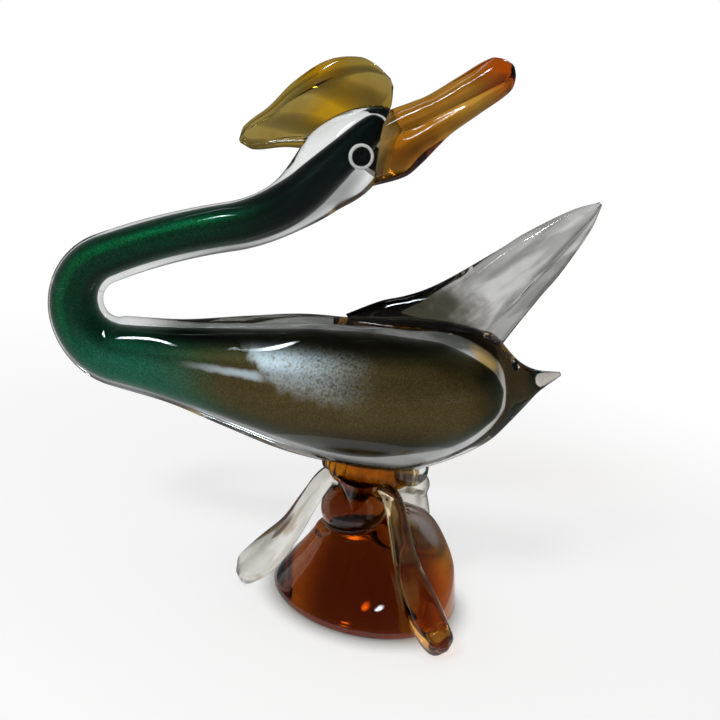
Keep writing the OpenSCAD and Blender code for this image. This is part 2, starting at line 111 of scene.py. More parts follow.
# %% Sizes along a path
def smooth_run(keys, at):
    """Smooth values through rows of a place and its values, at the places asked for."""
    keys, at = np.array(keys, float), np.asarray(at, float)
    x, y = keys[:, 0], keys[:, 1:]
    low, high = np.maximum(np.arange(len(x)) - 1, 0), np.minimum(np.arange(len(x)) + 1, len(x) - 1)
    slope = (y[high] - y[low]) / (x[high] - x[low])[:, None]
    i = np.clip(np.searchsorted(x, at) - 1, 0, len(x) - 2)
    gap = (x[i + 1] - x[i])[:, None]
    t = (at - x[i])[:, None] / gap
    rise = t * t * (3 - 2 * t)
    return (y[i] * (1 - rise) + y[i + 1] * rise
            + gap * t * (1 - t) * (slope[i] * (1 - t) - slope[i + 1] * t))


print("half way through a run from 0 to 2:", smooth_run([(0, 0), (1, 1), (2, 2)], [1])[0])

# %% Rings along a path
def ring(point, heading, half_h, half_w, sides, shape=None):
    """Points round a section that stands square to its heading in the mid-plane."""
    turn = np.arange(sides) * 2 * math.pi / sides
    up, out = half_h * np.cos(turn), half_w * np.sin(turn)
    if shape:
        up, out = shape(turn, up, out)
    above = facing(heading)[1]
    return np.stack([point[0] + above[0] * up, out, point[1] + above[1] * up], 1)


def on_line(keys, start, end, steps, sides):
    """Rings along the bird's line, whose keys also give the lift off it to the inside of the loop."""
    rings = []
    at = np.linspace(start, end, steps)
    for s, (half_h, half_w, lift) in zip(at, smooth_run(keys, at)):
        point, heading = line_at(s)
        rings.append(ring(point - lift * facing(heading)[1], heading, half_h, half_w, sides))
    return rings


def straight(start, heading, length, keys, size, steps, sides, shape):
    """Rings along a straight path, from keys given as shares of a length, a height and a width."""
    at = np.linspace(keys[0][0], keys[-1][0], steps)
    ahead = facing(heading)[0]
    return [
        ring(start + share * length * ahead, heading, h * size[0], w * size[1], sides, shape(share))
        for share, (h, w) in zip(at, smooth_run(keys, at))]


print("a ring of 4 points:", ring((0, 0), 90, 1, 1, 4).round(1).tolist())

# %% Closed skins
def new_piece(name, mesh):
    """An object for a mesh, with its faces turned outwards and shaded smooth."""
    form = bmesh.new()
    form.from_mesh(mesh)
    bmesh.ops.recalc_face_normals(form, faces=form.faces)
    form.to_mesh(mesh)
    form.free()
    mesh.shade_smooth()
    made = bpy.data.objects.new(name, mesh)
    bpy.context.scene.collection.objects.link(made)
    return made


def skin(name, rings):
    """A closed skin over rings of points, which keeps how far along and how high up each point lies."""
    rings = np.asarray(rings, float)
    m, n = rings.shape[:2]
    points = np.concatenate([rings.reshape(-1, 3), rings[:1].mean(1), rings[-1:].mean(1)])
    here, beside = np.arange(n), (np.arange(n) + 1) % n
    faces = []
    for i in range(m - 1):
        corners = [i * n + here, (i + 1) * n + here, (i + 1) * n + beside, i * n + beside]
        faces += np.stack(corners, 1).tolist()
    faces += np.stack([np.full(n, m * n), here, beside], 1).tolist()
    faces += np.stack([np.full(n, m * n + 1), (m - 1) * n + beside, (m - 1) * n + here], 1).tolist()
    mesh = bpy.data.meshes.new(name)
    mesh.from_pydata((points * MM).tolist(), [], faces)
    made = new_piece(name, mesh)
    share = np.concatenate([np.repeat(np.linspace(0, 1, m), n), [0, 1]])
    height = np.concatenate([np.tile(np.cos(here * 2 * math.pi / n), m), [0, 0]])
    for word, values in (("along", share), ("height", height)):
        mesh.attributes.new(word, "FLOAT", "POINT").data.foreach_set("value", values)
    return made


print("skins ready")

# %% [markdown]
# ## Glass set on glass
# Hot glass sticks to hot glass with no gap between. Two skins that only touch would show a silvery film of
# air, so a piece that sits on another is cut by a slightly thinner copy of it, and sinks in by a fraction of
# a millimetre. A boolean modifier makes the cut, and it is applied at once, so that the piece stays a plain
# mesh.

# %% Trimming
SINK, CREASE = 0.3, 35


def bake(piece):
    """Apply a piece's modifiers, so that it stays a plain mesh."""
    bpy.context.view_layer.update()
    mesh = bpy.data.meshes.new_from_object(piece.evaluated_get(bpy.context.evaluated_depsgraph_get()))
    piece.modifiers.clear()
    piece.data = mesh


def trim(piece, cutters):
    """Cut the piece by each of the cutters, which are used up."""
    for cutter in cutters:
        cut = piece.modifiers.new("cut", "BOOLEAN")
        cut.operation, cut.object, cut.solver = "DIFFERENCE", cutter, "MANIFOLD"
    bake(piece)
    for cutter in cutters:
        bpy.data.objects.remove(cutter)
    piece.data.shade_smooth()
    piece.data.set_sharp_from_angle(angle=math.radians(CREASE))


print("pieces sink in by", SINK, "mm")

# %% [markdown]
# ## The clear casing and the tail blade
# A thick clear gather covers the whole bird and ends in a drawn-out point at the rump. The blade has flat
# faces with thick round edges, which is what draws the pale and dark lines along a real glass blade. A thin
# box with a bevel has the edges too, but not the taper, so both pieces are lofts. The casing is a hair
# thinner than its solid, which keeps the whole model in the solids' box.

# %% Casing
TIP, HAIR = 0.8, 0.02
BODY_H, BODY_W, NECK_D, HEAD_H, HEAD_W = 64, 56, 21, 31, 27
CASING = (
    [(0, TIP, TIP, 0)]
    + [(share * RUMP_L, h * BODY_H, w * BODY_W, lift * BODY_H) for share, h, w, lift in (
        (0.1, 0.073, 0.075, 0), (0.16, 0.145, 0.145, 0.01), (0.24, 0.287, 0.26, 0.06),
        (0.33, 0.375, 0.36, 0.047), (0.46, 0.445, 0.44, 0.03), (0.65, 0.5, 0.49, 0), (0.76, 0.494, 0.5, 0),
        (0.88, 0.48, 0.5, 0))]
    + [(RUMP_L + share * BODY_L, h * BODY_H, w * BODY_W, 0) for share, h, w in (
        (0.15, 0.448, 0.46), (0.43, 0.367, 0.38), (0.72, 0.276, 0.3))]
    + [(s, h * NECK_D, w * NECK_D, 0) for s, h, w in (
        (LOOP_S, 0.7, 0.7), (LOOP_S + 0.4 * LOOP_L, 0.55, 0.55), (NECK_S, 0.49, 0.49), (NAPE_S, 0.47, 0.47),
        (NAPE_S + 0.6 * NAPE_L, 0.5, 0.49))]
    + [(HEAD_S + share * HEAD_L, h * HEAD_H, w * HEAD_W, 0) for share, h, w in (
        (0, 0.42, 0.43), (0.27, 0.5, 0.5), (0.48, 0.49, 0.49), (0.7, 0.4, 0.4), (0.88, 0.27, 0.27),
        (0.97, 0.15, 0.15))]
    + [(LINE_L, TIP, TIP, 0)])


def casing_form(name="cut", thinner=SINK, start=0, end=LINE_L):
    """The casing between two places on the line, or a thinner copy of it to cut with."""
    keys = [(s, max(h - thinner, 0.2), max(w - thinner, 0.2), lift) for s, h, w, lift in CASING]
    return skin(name, on_line(keys, start, end, 420, 128))


casing = casing_form("clear_casing", HAIR)
print("clear casing:", len(casing.data.polygons), "faces")

# %% Tail blade
TAIL_L, TAIL_W, TAIL_T, TAIL_RISE, TAIL_ROOT = 118, 34, 14, 52, np.array([-10, BODY_Z])
TAIL = [
    (0.12, 1, 0.5), (0.24, 0.84, 0.62), (0.31, 0.7, 0.62), (0.38, 0.59, 0.56), (0.47, 0.5, 0.5),
    (0.66, 0.37, 0.36), (0.75, 0.32, 0.3), (0.92, 0.16, 0.18), (1, TIP / TAIL_W, TIP / TAIL_T)]
REAR_STEP = [0.15, 0.3, 0.5, 0.62, 0.86], [1, 0.96, 0.6, 0.52, 0.5]
FLAT_FROM = 0.34


def rounded(c, rim):
    """The fall of the thickness over a rim, for places from -1 to 1 across the blade."""
    return np.sqrt(np.clip(1 - (np.clip(c - 1 + rim, 0, 1) / rim) ** 2, 0, 1))


def bladed(share):
    """The blade's section: flat faces, a round front edge and a step down to a thinner rear edge."""
    half = smooth_run(TAIL, [share])[0][1] * TAIL_T

    def shape(turn, up, out):
        c = np.cos(turn)
        rim = min(1.1 * half / np.abs(up).max(), 0.6)
        front = rounded(c, rim)
        rear = np.interp(-c, *REAR_STEP) * rounded(-c, 0.6 * rim)
        marks = 0.06 * math.sin(17 * share) * np.sin(3 * c) + 0.05 * np.sin(31 * share - 5 * c)
        thick = np.sign(np.sin(turn)) * half * front * rear * (1 + marks * front ** 4)
        flat = np.clip((share - FLAT_FROM) * 5, 0, 1)
        return up, out * (1 - flat) + thick * flat
    return shape


tail = skin("tail_blade", straight(TAIL_ROOT, TAIL_RISE, TAIL_L, TAIL, (TAIL_W, TAIL_T), 160, 96, bladed))
trim(tail, [casing_form(end=LOOP_S)])
print("tail blade:", len(tail.data.polygons), "faces")

# %% [markdown]
# ## The coloured core
# Under the casing lies the colour: dark green in head and neck, olive gold in the body. The round casing
# works as a lens that makes the core look half as wide again, so it is made thinner than it looks. It could
# be the casing scaled down, but it ends before the rump and lies a little to the outside of the loop, so it
# has keys of its own.

# %% Core
CORE_H, CORE_W, CORE_NECK, CORE_NOSE, CORE_TAIL, CORE_SHIFT = 37, 35, 11, 6, 28, 0.6
CORE_END = LINE_L - CORE_NOSE
CORE = (
    [(CORE_TAIL, TIP, TIP, 0)]
    + [(CORE_TAIL + share * CORE_H, h * CORE_H, h * CORE_W, 0) for share, h in (
        (0.06, 0.15), (0.17, 0.25), (0.4, 0.37), (0.65, 0.445))]
    + [(s, h * CORE_H, w * CORE_W, -CORE_SHIFT) for s, h, w in (
        (0.77 * RUMP_L, 0.5, 0.5), (RUMP_L + 0.08 * BODY_L, 0.46, 0.46), (RUMP_L + 0.29 * BODY_L, 0.4, 0.4),
        (RUMP_L + 0.65 * BODY_L, 0.29, 0.3))]
    + [(s, h * CORE_NECK, w * CORE_NECK, -CORE_SHIFT) for s, h, w in (
        (LOOP_S, 0.7, 0.7), (NECK_S, 0.5, 0.5), (NAPE_S, 0.5, 0.5), (HEAD_S, 0.55, 0.55),
        (HEAD_S + 0.5 * HEAD_L, 0.44, 0.44), (CORE_END - 0.12 * HEAD_L, 0.36, 0.36),
        (CORE_END - 0.03 * HEAD_L, 0.24, 0.24))]
    + [(CORE_END, TIP, TIP, -CORE_SHIFT)])
core = skin("colour_core", on_line(CORE, CORE_TAIL, CORE_END, 320, 64))
print("colour core:", len(core.data.polygons), "faces")

# %% [markdown]
# ## The crest and the bill
# Each is a gather of yellow glass set on the hot head and shaped with tools. The crest is a leaf with a
# thick round rim and a dished face. The bill is folded lengthways, so its section has a notch on each side.
# Sculpting would do, but a section that changes along a loft is exact and can be tuned by its numbers.

# %% Crest
CREST_L, CREST_H, CREST_T, CREST_FALL, CREST_AHEAD, CREST_LIFT = 63, 32, 13, 30, 7, 8.5
CREST = [
    (0, 2 * TIP / CREST_H, TIP / CREST_T), (0.05, 0.25, 0.22), (0.13, 0.41, 0.38), (0.32, 0.51, 0.5),
    (0.56, 0.42, 0.46), (0.75, 0.26, 0.38), (0.94, 0.15, 0.26), (1, TIP / CREST_H, TIP / CREST_T)]
crest_start = head_point(HEAD_L + CREST_AHEAD, CREST_LIFT)


def dished(share):
    """A leaf's section: a round rim and a thinner, dented web."""
    def shape(turn, up, out):
        c = np.cos(turn)
        web = np.clip((0.78 - np.abs(c)) / 0.24, 0, 1)
        web = web * web * (3 - 2 * web) * np.sin(math.pi * share) ** 0.4
        dents = 0.08 * np.sin(14 * share + 4 * c) * web
        return up, out * np.maximum(np.abs(np.sin(turn)), 1e-6) ** -0.3 * (1 - 0.55 * web + dents)
    return shape


def crest_form(name, thinner, steps, sides):
    """The crest, or a thinner copy of it to cut with."""
    size = (CREST_H - 2 * thinner, CREST_T - 2 * thinner)
    return skin(name, straight(crest_start, 180 + CREST_FALL, CREST_L, CREST, size, steps, sides, dished))


crest = crest_form("crest", 0, 110, 72)
trim(crest, [casing_form(start=NAPE_S)])
print("crest:", len(crest.data.polygons), "faces")

# %% Bill
BILL_L, BILL_H, BILL_W, BILL_RISE, BILL_DEEP, BILL_DROP = 70, 17.46, 16, 42.5, 24, 6.5
FOLD_RISE, FOLD_DEEP, FOLD_DROP = 36, 3, 8
BILL = [
    (0, 0.5, 0.45), (0.19, 0.73, 0.6), (0.3, 0.69, 0.6), (0.43, 0.57, 0.56), (0.53, 0.49, 0.5),
    (0.72, 0.46, 0.45), (0.92, 0.41, 0.42), (0.98, 0.22, 0.24), (1, TIP / BILL_H, TIP / BILL_W)]
bill_start = head_point(HEAD_L - BILL_DEEP, -BILL_DROP)
fold_start = head_point(HEAD_L - FOLD_DEEP, -FOLD_DROP)


def folded(share):
    """The bill's section, drawn in along the fold that parts its two lobes."""
    ahead, above = facing(BILL_RISE)
    offset = fold_start - bill_start
    slope = math.tan(math.radians(FOLD_RISE - BILL_RISE))
    level = offset @ above + (share * BILL_L - offset @ ahead) * slope

    def shape(turn, up, out):
        ends = np.clip((share - 0.2) * 8, 0, 1) * np.clip((1 - share) * 9, 0, 1)
        notch = 0.28 * np.exp(-((up - level) / 2.2) ** 2)
        grooves = 0.05 * np.cos(5 * turn + 3 * share)
        return up, out * (1 - (notch + grooves) * ends)
    return shape


bill = skin("bill", straight(bill_start, BILL_RISE, BILL_L, BILL, (BILL_H, BILL_W), 120, 96, folded))
trim(bill, [casing_form(start=NAPE_S), crest_form("cut", SINK, 60, 48)])
print("bill:", len(bill.data.polygons), "faces")

# %% [markdown]
# ## The eyes
# Each eye is a slice of cane, a black rod cased in white, pressed on the side of the head. A cylinder and a
# tube would be too sharp. Instead a short profile with a soft edge and a low crown is turned, and laid
# square to the head's surface, as the solid is.

# %% Eyes
PUPIL_D, EYE_BACK, EYE_DROP, EYE_SIDES = 7.2, 19.5, 4, 64
PUPIL_EDGE = [(-1.0, 0.98), (0.3, 0.98), (0.48, 0.92), (0.56, 0.6), (0.58, 0.15)]
RING_EDGE = [(-1.0, 1.02), (0.28, 1.02), (0.46, 1.08), (0.5, 1.16), (0.44, 1.27), (0.2, 1.35), (-1.0, 1.36)]
eye_s = LINE_L - EYE_BACK
eye_h, eye_w, _ = smooth_run(CASING, [eye_s])[0]
narrowing = smooth_run(CASING, [eye_s - 1])[0][1] - eye_w
eye_y = eye_w * math.sqrt(1 - (EYE_DROP / eye_h) ** 2)
eye_at = head_point(HEAD_L - EYE_BACK, -EYE_DROP)
ahead, above = facing(HEADING)
tilt = ahead * narrowing * eye_y ** 2 / eye_w ** 3 - above * EYE_DROP / eye_h ** 2


def hoop(name, rings):
    """A skin over rings whose last is joined to the first."""
    m, n = len(rings), len(rings[0])
    faces = [(i * n + j, (i + 1) % m * n + j, (i + 1) % m * n + (j + 1) % n, i * n + (j + 1) % n)
             for i in range(m) for j in range(n)]
    mesh = bpy.data.meshes.new(name)
    mesh.from_pydata((np.concatenate(rings) * MM).tolist(), [], faces)
    return new_piece(name, mesh)


def eye_piece(name, side, edge, cover):
    """A turned slice: rows of height over the head and share of the pupil's radius."""
    turn = np.arange(EYE_SIDES) * 2 * math.pi / EYE_SIDES
    made = cover(name, [
        np.stack([share * PUPIL_D / 2 * np.cos(turn), share * PUPIL_D / 2 * np.sin(turn),
                  np.full(EYE_SIDES, level)], 1) for level, share in edge])
    out = Vector((tilt[0], -side * eye_y / eye_w ** 2, tilt[1])).normalized()
    place = Matrix.Translation(Vector((eye_at[0], -side * eye_y, eye_at[1])) * MM)
    made.data.transform(place @ out.to_track_quat("Z", "Y").to_matrix().to_4x4())
    return made


eyes = {}
for word, side in (("near", 1), ("far", -1)):
    eyes[word + "_eye_ring"] = eye_piece(word + "_eye_white", side, RING_EDGE, hoop)
    eyes[word + "_eye_pupil"] = eye_piece(word + "_eye_black", side, PUPIL_EDGE, skin)
print("eyes:", sorted(eyes))

# %% [markdown]
# ## The stand
# An amber bulb and an amber bell lie in clear glass. On the real stand one clear skin runs from the dome up
# over the bulb, with no seam at the waist. Two skins would show a dark line there, so the dome and a ball are
# joined, evened out by a voxel remesh and smoothed. The amber lies inside, and its finish hardly refracts,
# so that only its colour shows.

# %% Levels of the stand
FOOT_R, FOOT_H, RIM_H, FOOT_LEAN = 40, 44, 3.4, 2.5
FOOT_WALL, FACE_WALL, SIDE_WALL, SHOULDER_WALL = 0.9, 5, 9, 11
DOME = (
    [(0, 0, FOOT_R - 0.7 * RIM_H, FOOT_R - 0.7 * RIM_H),
     (0.35 * RIM_H, 0, FOOT_R - 0.23 * RIM_H, FOOT_R - 0.23 * RIM_H), (RIM_H, 0, FOOT_R, FOOT_R - 0.01)]
    + [(z * FOOT_H, x * FOOT_LEAN, l * FOOT_R, w * FOOT_R) for z, x, l, w in (
        (0.15, 0.2, 0.97, 0.96), (0.23, 0.55, 0.93, 0.91), (0.34, 1, 0.875, 0.82), (0.45, 1.35, 0.82, 0.71),
        (0.57, 1.45, 0.755, 0.58), (0.68, 1.45, 0.685, 0.45), (0.75, 2.8, 0.55, 0.385),
        (0.82, 4.1, 0.41, 0.33), (0.9, 4.65, 0.29, 0.25), (0.97, 4.3, 0.18, 0.16), (1, 3.8, 0.08, 0.07))])


def bell_level(z, x, l, w):
    """The bell under a level of the dome, with more clear glass at the shoulder on the side of the tail."""
    more = min(1, 1.6 * z / FOOT_H) * (SHOULDER_WALL - SIDE_WALL) / 3
    return FOOT_WALL + 0.87 * z, x - more, l - SIDE_WALL - 2 * more, w - FACE_WALL


BELL = [bell_level(*level) for level in DOME if level[3] > 0.3 * FOOT_R]
BELL += [(0.79 * FOOT_H, 3.5 * FOOT_LEAN, TIP, TIP)]


def stacked(levels, steps, sides, thinner=0):
    """Level rings up the stand, from rows of height, middle, half length and half width."""
    at = np.linspace(levels[0][0], levels[-1][0], steps)
    return [
        ring((x, z), 90, l - thinner, w - thinner, sides)
        for z, (x, l, w) in zip(at, smooth_run(levels, at))]


print("levels:", len(DOME), "in the dome,", len(BELL), "in the bell")

# %% Dome, bell and bulb
STEM_LEAN, BULB_R, BULB_Z = 11, 14, 39
BULB_SKIN, BELL_GAP = 0.8, 0.1
SKIN_GRAIN, SKIN_ROUNDS = 0.6, 24


def ball(name="cut", radius=BULB_R - SINK):
    """The bulb, a round drop, or a smaller copy of it to cut with."""
    lean = np.linspace(0, math.pi, 66)[1:-1]
    return skin(name, [
        ring((-STEM_LEAN, BULB_Z - radius * math.cos(a)), 90, radius * math.sin(a), radius * math.sin(a), 96)
        for a in lean])


def flow_together(piece, other):
    """One skin round two forms, evened out so that they flow into each other."""
    join = piece.modifiers.new("join", "BOOLEAN")
    join.operation, join.object, join.solver = "UNION", other, "MANIFOLD"
    even = piece.modifiers.new("even", "REMESH")
    even.mode, even.voxel_size = "VOXEL", SKIN_GRAIN * MM
    soft = piece.modifiers.new("soft", "SMOOTH")
    soft.factor, soft.iterations = 0.5, SKIN_ROUNDS
    bake(piece)
    bpy.data.objects.remove(other)
    piece.data.shade_smooth()


dome = skin("clear_dome", stacked(DOME, 110, 128))
flow_together(dome, ball("dome_top", BULB_R))
bulb = ball("amber_bulb", BULB_R - BULB_SKIN)
bell = skin("amber_bell", stacked(BELL, 70, 96))
trim(bell, [ball(radius=BULB_R - BULB_SKIN - BELL_GAP)])
print("dome, bulb and bell:", sum(len(p.data.polygons) for p in (dome, bulb, bell)), "faces")

# %% [markdown]
# ## The collar, the drip and the pad
# An amber collar, crimped with pincers, carries the body on the bulb. A pointed drip hangs from it, and a
# clear pad fills the gap beside it under the belly. A torus with a displacement could give the crimps, but
# level rings whose radius ripples are the same loft as before, and thinner copies of them serve as cutters.

# %% Sections and levels under the body
COLLAR_L, COLLAR_W, CRIMP, CRIMPS = 38, 27, 1.1, 9
COLLAR_LOW, COLLAR_X = 50, -8
COLLAR_H = BODY_Z - COLLAR_LOW
COLLAR = [(0, 0.62), (0.05, 0.8), (0.13, 0.96), (0.23, 1), (0.4, 0.91)]
PAD = [(0.08, 0.3), (0.12, 0.62), (0.2, 0.95), (0.3, 1), (0.5, 0.86)]
SOFT_CORNER = 1.6


def crimped(turn, up, out):
    """A section with pinched waves round it."""
    k = 1 + CRIMP / COLLAR_W * (np.cos(CRIMPS * turn) + 0.35 * np.cos(23 * turn + 1) - 0.35)
    return up * k, out * k


def faceted(turn, up, out):
    """A square section with soft corners, set cornerwise."""
    k = (np.abs(np.cos(turn)) ** SOFT_CORNER + np.abs(np.sin(turn)) ** SOFT_CORNER) ** (-1 / SOFT_CORNER)
    return up * k, out * k


def swelling(rows):
    """Heights between the collar's low edge and the body, each with its share of the full width."""
    at = np.linspace(rows[0][0], rows[-1][0], 40)
    return zip(COLLAR_LOW + at * COLLAR_H, smooth_run(rows, at)[:, 0])


print("the collar is", round(COLLAR[-1][0] * COLLAR_H, 1), "mm high before it is cut")

# %% Collar, drip and pad
DRIP_L, DRIP_W, PAD_L = 17, 18, 26


def collar_form(name="cut", thinner=SINK):
    """The collar, or a thinner copy of it to cut with."""
    return skin(name, [
        ring((COLLAR_X, z), 90, k * COLLAR_L / 2 - thinner, k * COLLAR_W / 2 - thinner, 144, crimped)
        for z, k in swelling(COLLAR)])


def pad_form(name="cut", thinner=SINK):
    """The pad, which leans out at its low edge."""
    return skin(name, [
        ring((COLLAR_X + 0.32 * COLLAR_L + (1 - k) * 0.23 * PAD_L, z), 90,
             k * 0.5 * PAD_L - thinner, k * 0.42 * PAD_L - thinner, 72)
        for z, k in swelling(PAD)])


def drip_form(name="cut", thinner=SINK):
    """The drip, a soft pyramid that hangs from the front of the collar."""
    top, radius = COLLAR_LOW + 0.15 * COLLAR_H, DRIP_W / 2 - thinner
    made = skin(name, [
        ring((-STEM_LEAN, top - DRIP_L * (1 - k)), 90, k * radius, k * radius, 64, faceted)
        for k in np.linspace(0.02, 1, 24)])
    made.data.transform(Matrix.Translation((0, -0.43 * COLLAR_W * MM, 0)))
    return made


def body_form():
    """A thinner copy of the casing round the body, to cut with."""
    return casing_form(start=0.3 * RUMP_L, end=LOOP_S)


collar = collar_form("amber_collar", 0)
trim(collar, [body_form(), ball()])
drip = drip_form("amber_drip", 0)
trim(drip, [collar_form(), ball(), body_form()])
pad = pad_form("seat_pad_glass", 0)
trim(pad, [collar_form(), ball(), body_form()])
print("collar, drip and pad:", sum(len(p.data.polygons) for p in (collar, drip, pad)), "faces")

# %% [markdown]
# ## The legs
# Three bits of clear glass were laid on under the collar and drawn down. Two of them end in pads beside the
# foot, and the short one ends on the dome's shoulder. A tapered curve would do for a plain leg, but rings
# along a path can keep the shallow flutes of the pincers, and they are cut like the other pieces.

# %% Legs
LEG_D, BACK_D, TOE_D, LEG_IN, LEG_SLACK = 11, 14, 16, 9.5, 0.3
LEG_TOP, TOE_Z = COLLAR_LOW + 0.04 * COLLAR_H, 0.36 * TOE_D
LEG_WAY = [
    (0.12, 0, 0), (0.34, 0.18, 0.24), (0.55, 0.34, 0.49), (0.74, 0.53, 0.7), (0.86, 0.74, 0.89),
    (0.94, 0.9, 0.985), (1, 1, 1)]


def pinched(turn, up, out):
    """A round section with shallow flutes along it."""
    k = 0.96 + 0.04 * np.cos(5 * turn + 0.6)
    return up * k, out * k


def leg_sizes(knee):
    """Half thickness and half width along a leg, from its root over the knee to the pad."""
    return [
        (0, 0.4 * knee, 0.4 * knee), (0.3, 0.42 * knee, 0.45 * knee), (0.55, 0.5 * knee, 0.55 * knee),
        (0.8, 0.48 * TOE_D, 0.5 * TOE_D), (0.9, 0.46 * TOE_D, 0.47 * TOE_D),
        (0.97, 0.32 * TOE_D, 0.34 * TOE_D), (1, TIP, TIP)]


def leg_piece(name, bend, reach, turn, toe, knee):
    """One leg, drawn from the collar down to its pad at the height toe."""
    way = [(0, (LEG_IN - bend) / (reach - bend), -0.02)] + LEG_WAY

    def path(at):
        out, down = smooth_run(way, np.clip(at, 0, 1)).T
        return np.stack([bend + (reach - bend) * out, LEG_TOP - (LEG_TOP - toe) * down], 1)

    at = np.linspace(0, 1, 90)
    step = path(at + 0.05) - path(at - 0.05)
    heading = np.degrees(np.arctan2(step[:, 1], step[:, 0]))
    sizes = smooth_run(leg_sizes(knee), at) - LEG_SLACK
    made = skin(name, [ring(p, h, *size, 96, pinched) for p, h, size in zip(path(at), heading, sizes)])
    turned = Matrix.Rotation(math.radians(turn), 4, "Z")
    made.data.transform(Matrix.Translation((-STEM_LEAN * MM, 0, 0)) @ turned)
    dome_cut = skin("cut", stacked(DOME, 110, 96, SINK))
    trim(made, [dome_cut, ball(), collar_form(), drip_form(), pad_form(), body_form()])
    return made


legs = {
    "left_leg": leg_piece("left_leg_glass", 14, 46, 195, TOE_Z, LEG_D),
    "front_leg": leg_piece("front_leg_glass", 20, 64, -45, TOE_Z, LEG_D),
    "back_leg": leg_piece("back_leg_glass", 25.5, 29, 20, FOOT_H - 11, BACK_D)}
print("legs:", {k: len(p.data.polygons) for k, p in legs.items()})

# %% [markdown]
# ## Shader maths
# A finish is a tree of nodes. The class Wire wraps one socket, so that a line such as 1 - mask adds its Math
# node, and Finish.node adds any other node from its type, its sockets and its settings.

# %% Wires
def both_ways(operation):
    """An operator's two forms, with the wire first and with the wire last."""
    return (lambda wire, other: wire.maths(operation, wire, other),
            lambda wire, other: wire.maths(operation, other, wire))


class Wire:
    """A socket that can be used in sums."""

    def __init__(self, finish, socket):
        self.finish, self.socket = finish, socket

    def maths(self, operation, a, b=0):
        """A Math node on two wires or numbers."""
        return self.finish.node("ShaderNodeMath", {0: a, 1: b}, operation=operation)

    __add__, __radd__ = both_ways("ADD")
    __sub__, __rsub__ = both_ways("SUBTRACT")
    __mul__, __rmul__ = both_ways("MULTIPLY")

    def __abs__(self):
        return self.maths("ABSOLUTE", self)

    def or_more(self, other):
        """The larger of the two."""
        return self.maths("MAXIMUM", self, other)

    def __getitem__(self, name):
        """Another output of the same node."""
        return Wire(self.finish, self.socket.node.outputs[name])


print("wires ready")

# %% Finishes
class Finish:
    """A node tree under construction, for a material or for the world."""

    def __init__(self, owner):
        self.owner = owner
        owner.use_nodes = True
        self.tree = owner.node_tree
        self.tree.nodes.clear()

    def node(self, kind, sockets=None, **settings):
        """Any node, from its type, its sockets' values or wires, and its settings, which are set first."""
        made = self.tree.nodes.new(kind)
        for key, value in settings.items():
            if key == "stops":
                stops = made.color_ramp.elements
                while len(stops) < len(value):
                    stops.new(1)
                for stop, (place, grey) in zip(stops, value):
                    stop.position, stop.color = place, (grey, grey, grey, 1)
            else:
                setattr(made, key, value)
        for key, value in (sockets or {}).items():
            if isinstance(key, str):
                socket = next(s for s in made.inputs if s.name == key and s.enabled)
            else:
                socket = made.inputs[key]
            if isinstance(value, Wire):
                self.tree.links.new(value.socket, socket)
            elif socket.type == "RGBA":
                socket.default_value = (*value, 1)
            else:
                socket.default_value = value
        return Wire(self, next((s for s in made.outputs if s.enabled), None))

    def place(self):
        """Where a point lies, in metres."""
        return self.node("ShaderNodeTexCoord")["Object"]

    def axes(self, place):
        """A place's X, Y and Z, each to be asked for by its name."""
        return self.node("ShaderNodeSeparateXYZ", {"Vector": place})

    def length(self, place):
        """How far a place lies from the origin."""
        return self.node("ShaderNodeVectorMath", {0: place}, operation="LENGTH")["Value"]

    def share(self, name):
        """A value that a skin keeps for each of its points."""
        return self.node("ShaderNodeAttribute", attribute_name=name)["Fac"]

    def reach(self, place, start, heading):
        """How far a place lies from a start along a heading in the mid-plane, in millimetres."""
        ahead = facing(heading)[0]
        run = self.node("ShaderNodeVectorMath", {0: place, 1: (ahead[0] / MM, 0, ahead[1] / MM)},
                        operation="DOT_PRODUCT")["Value"]
        return run - float(ahead @ start)

    def mix(self, factor, a, b):
        """A mix of two colours."""
        return self.node("ShaderNodeMix", {"Factor": factor, "A": a, "B": b}, data_type="RGBA")

    def steps(self, value, low, high):
        """0 at low, 1 at high and a soft run between them. Low may be the larger of the two."""
        return self.node("ShaderNodeMapRange", {"Value": value, "From Min": low, "From Max": high},
                         interpolation_type="SMOOTHSTEP")

    def noise(self, place, scale, detail, heading=None, stretch=1):
        """Soft noise, drawn out along a heading in the mid-plane if one is given."""
        if heading is not None:
            turned = (0, -math.radians(heading), 0)
            place = self.node(
                "ShaderNodeMapping", {"Vector": place, "Rotation": turned, "Scale": (stretch, 1, 1)},
                vector_type="TEXTURE")
        return self.node("ShaderNodeTexNoise", {"Vector": place, "Scale": scale, "Detail": detail})

    def done(self, **sockets):
        """Close the tree with its output, and give back the material."""
        self.node("ShaderNodeOutputMaterial", sockets)
        return self.owner


def new_finish(name):
    """A finish for a new material."""
    return Finish(bpy.data.materials.new(name))


print("finishes ready")

# %% [markdown]
# ## Clear and coloured glass
# Glass is a Principled shader with full transmission. Amber has its colour in the volume, so thick glass is
# darker than thin glass, as in the real thing, and tints on the skin make the smoke and the streaks. A soft
# ripple in the normal stands for the marks of the tools. Shadow rays go straight through, tinted, because
# light that is bent by glass would need far more samples.

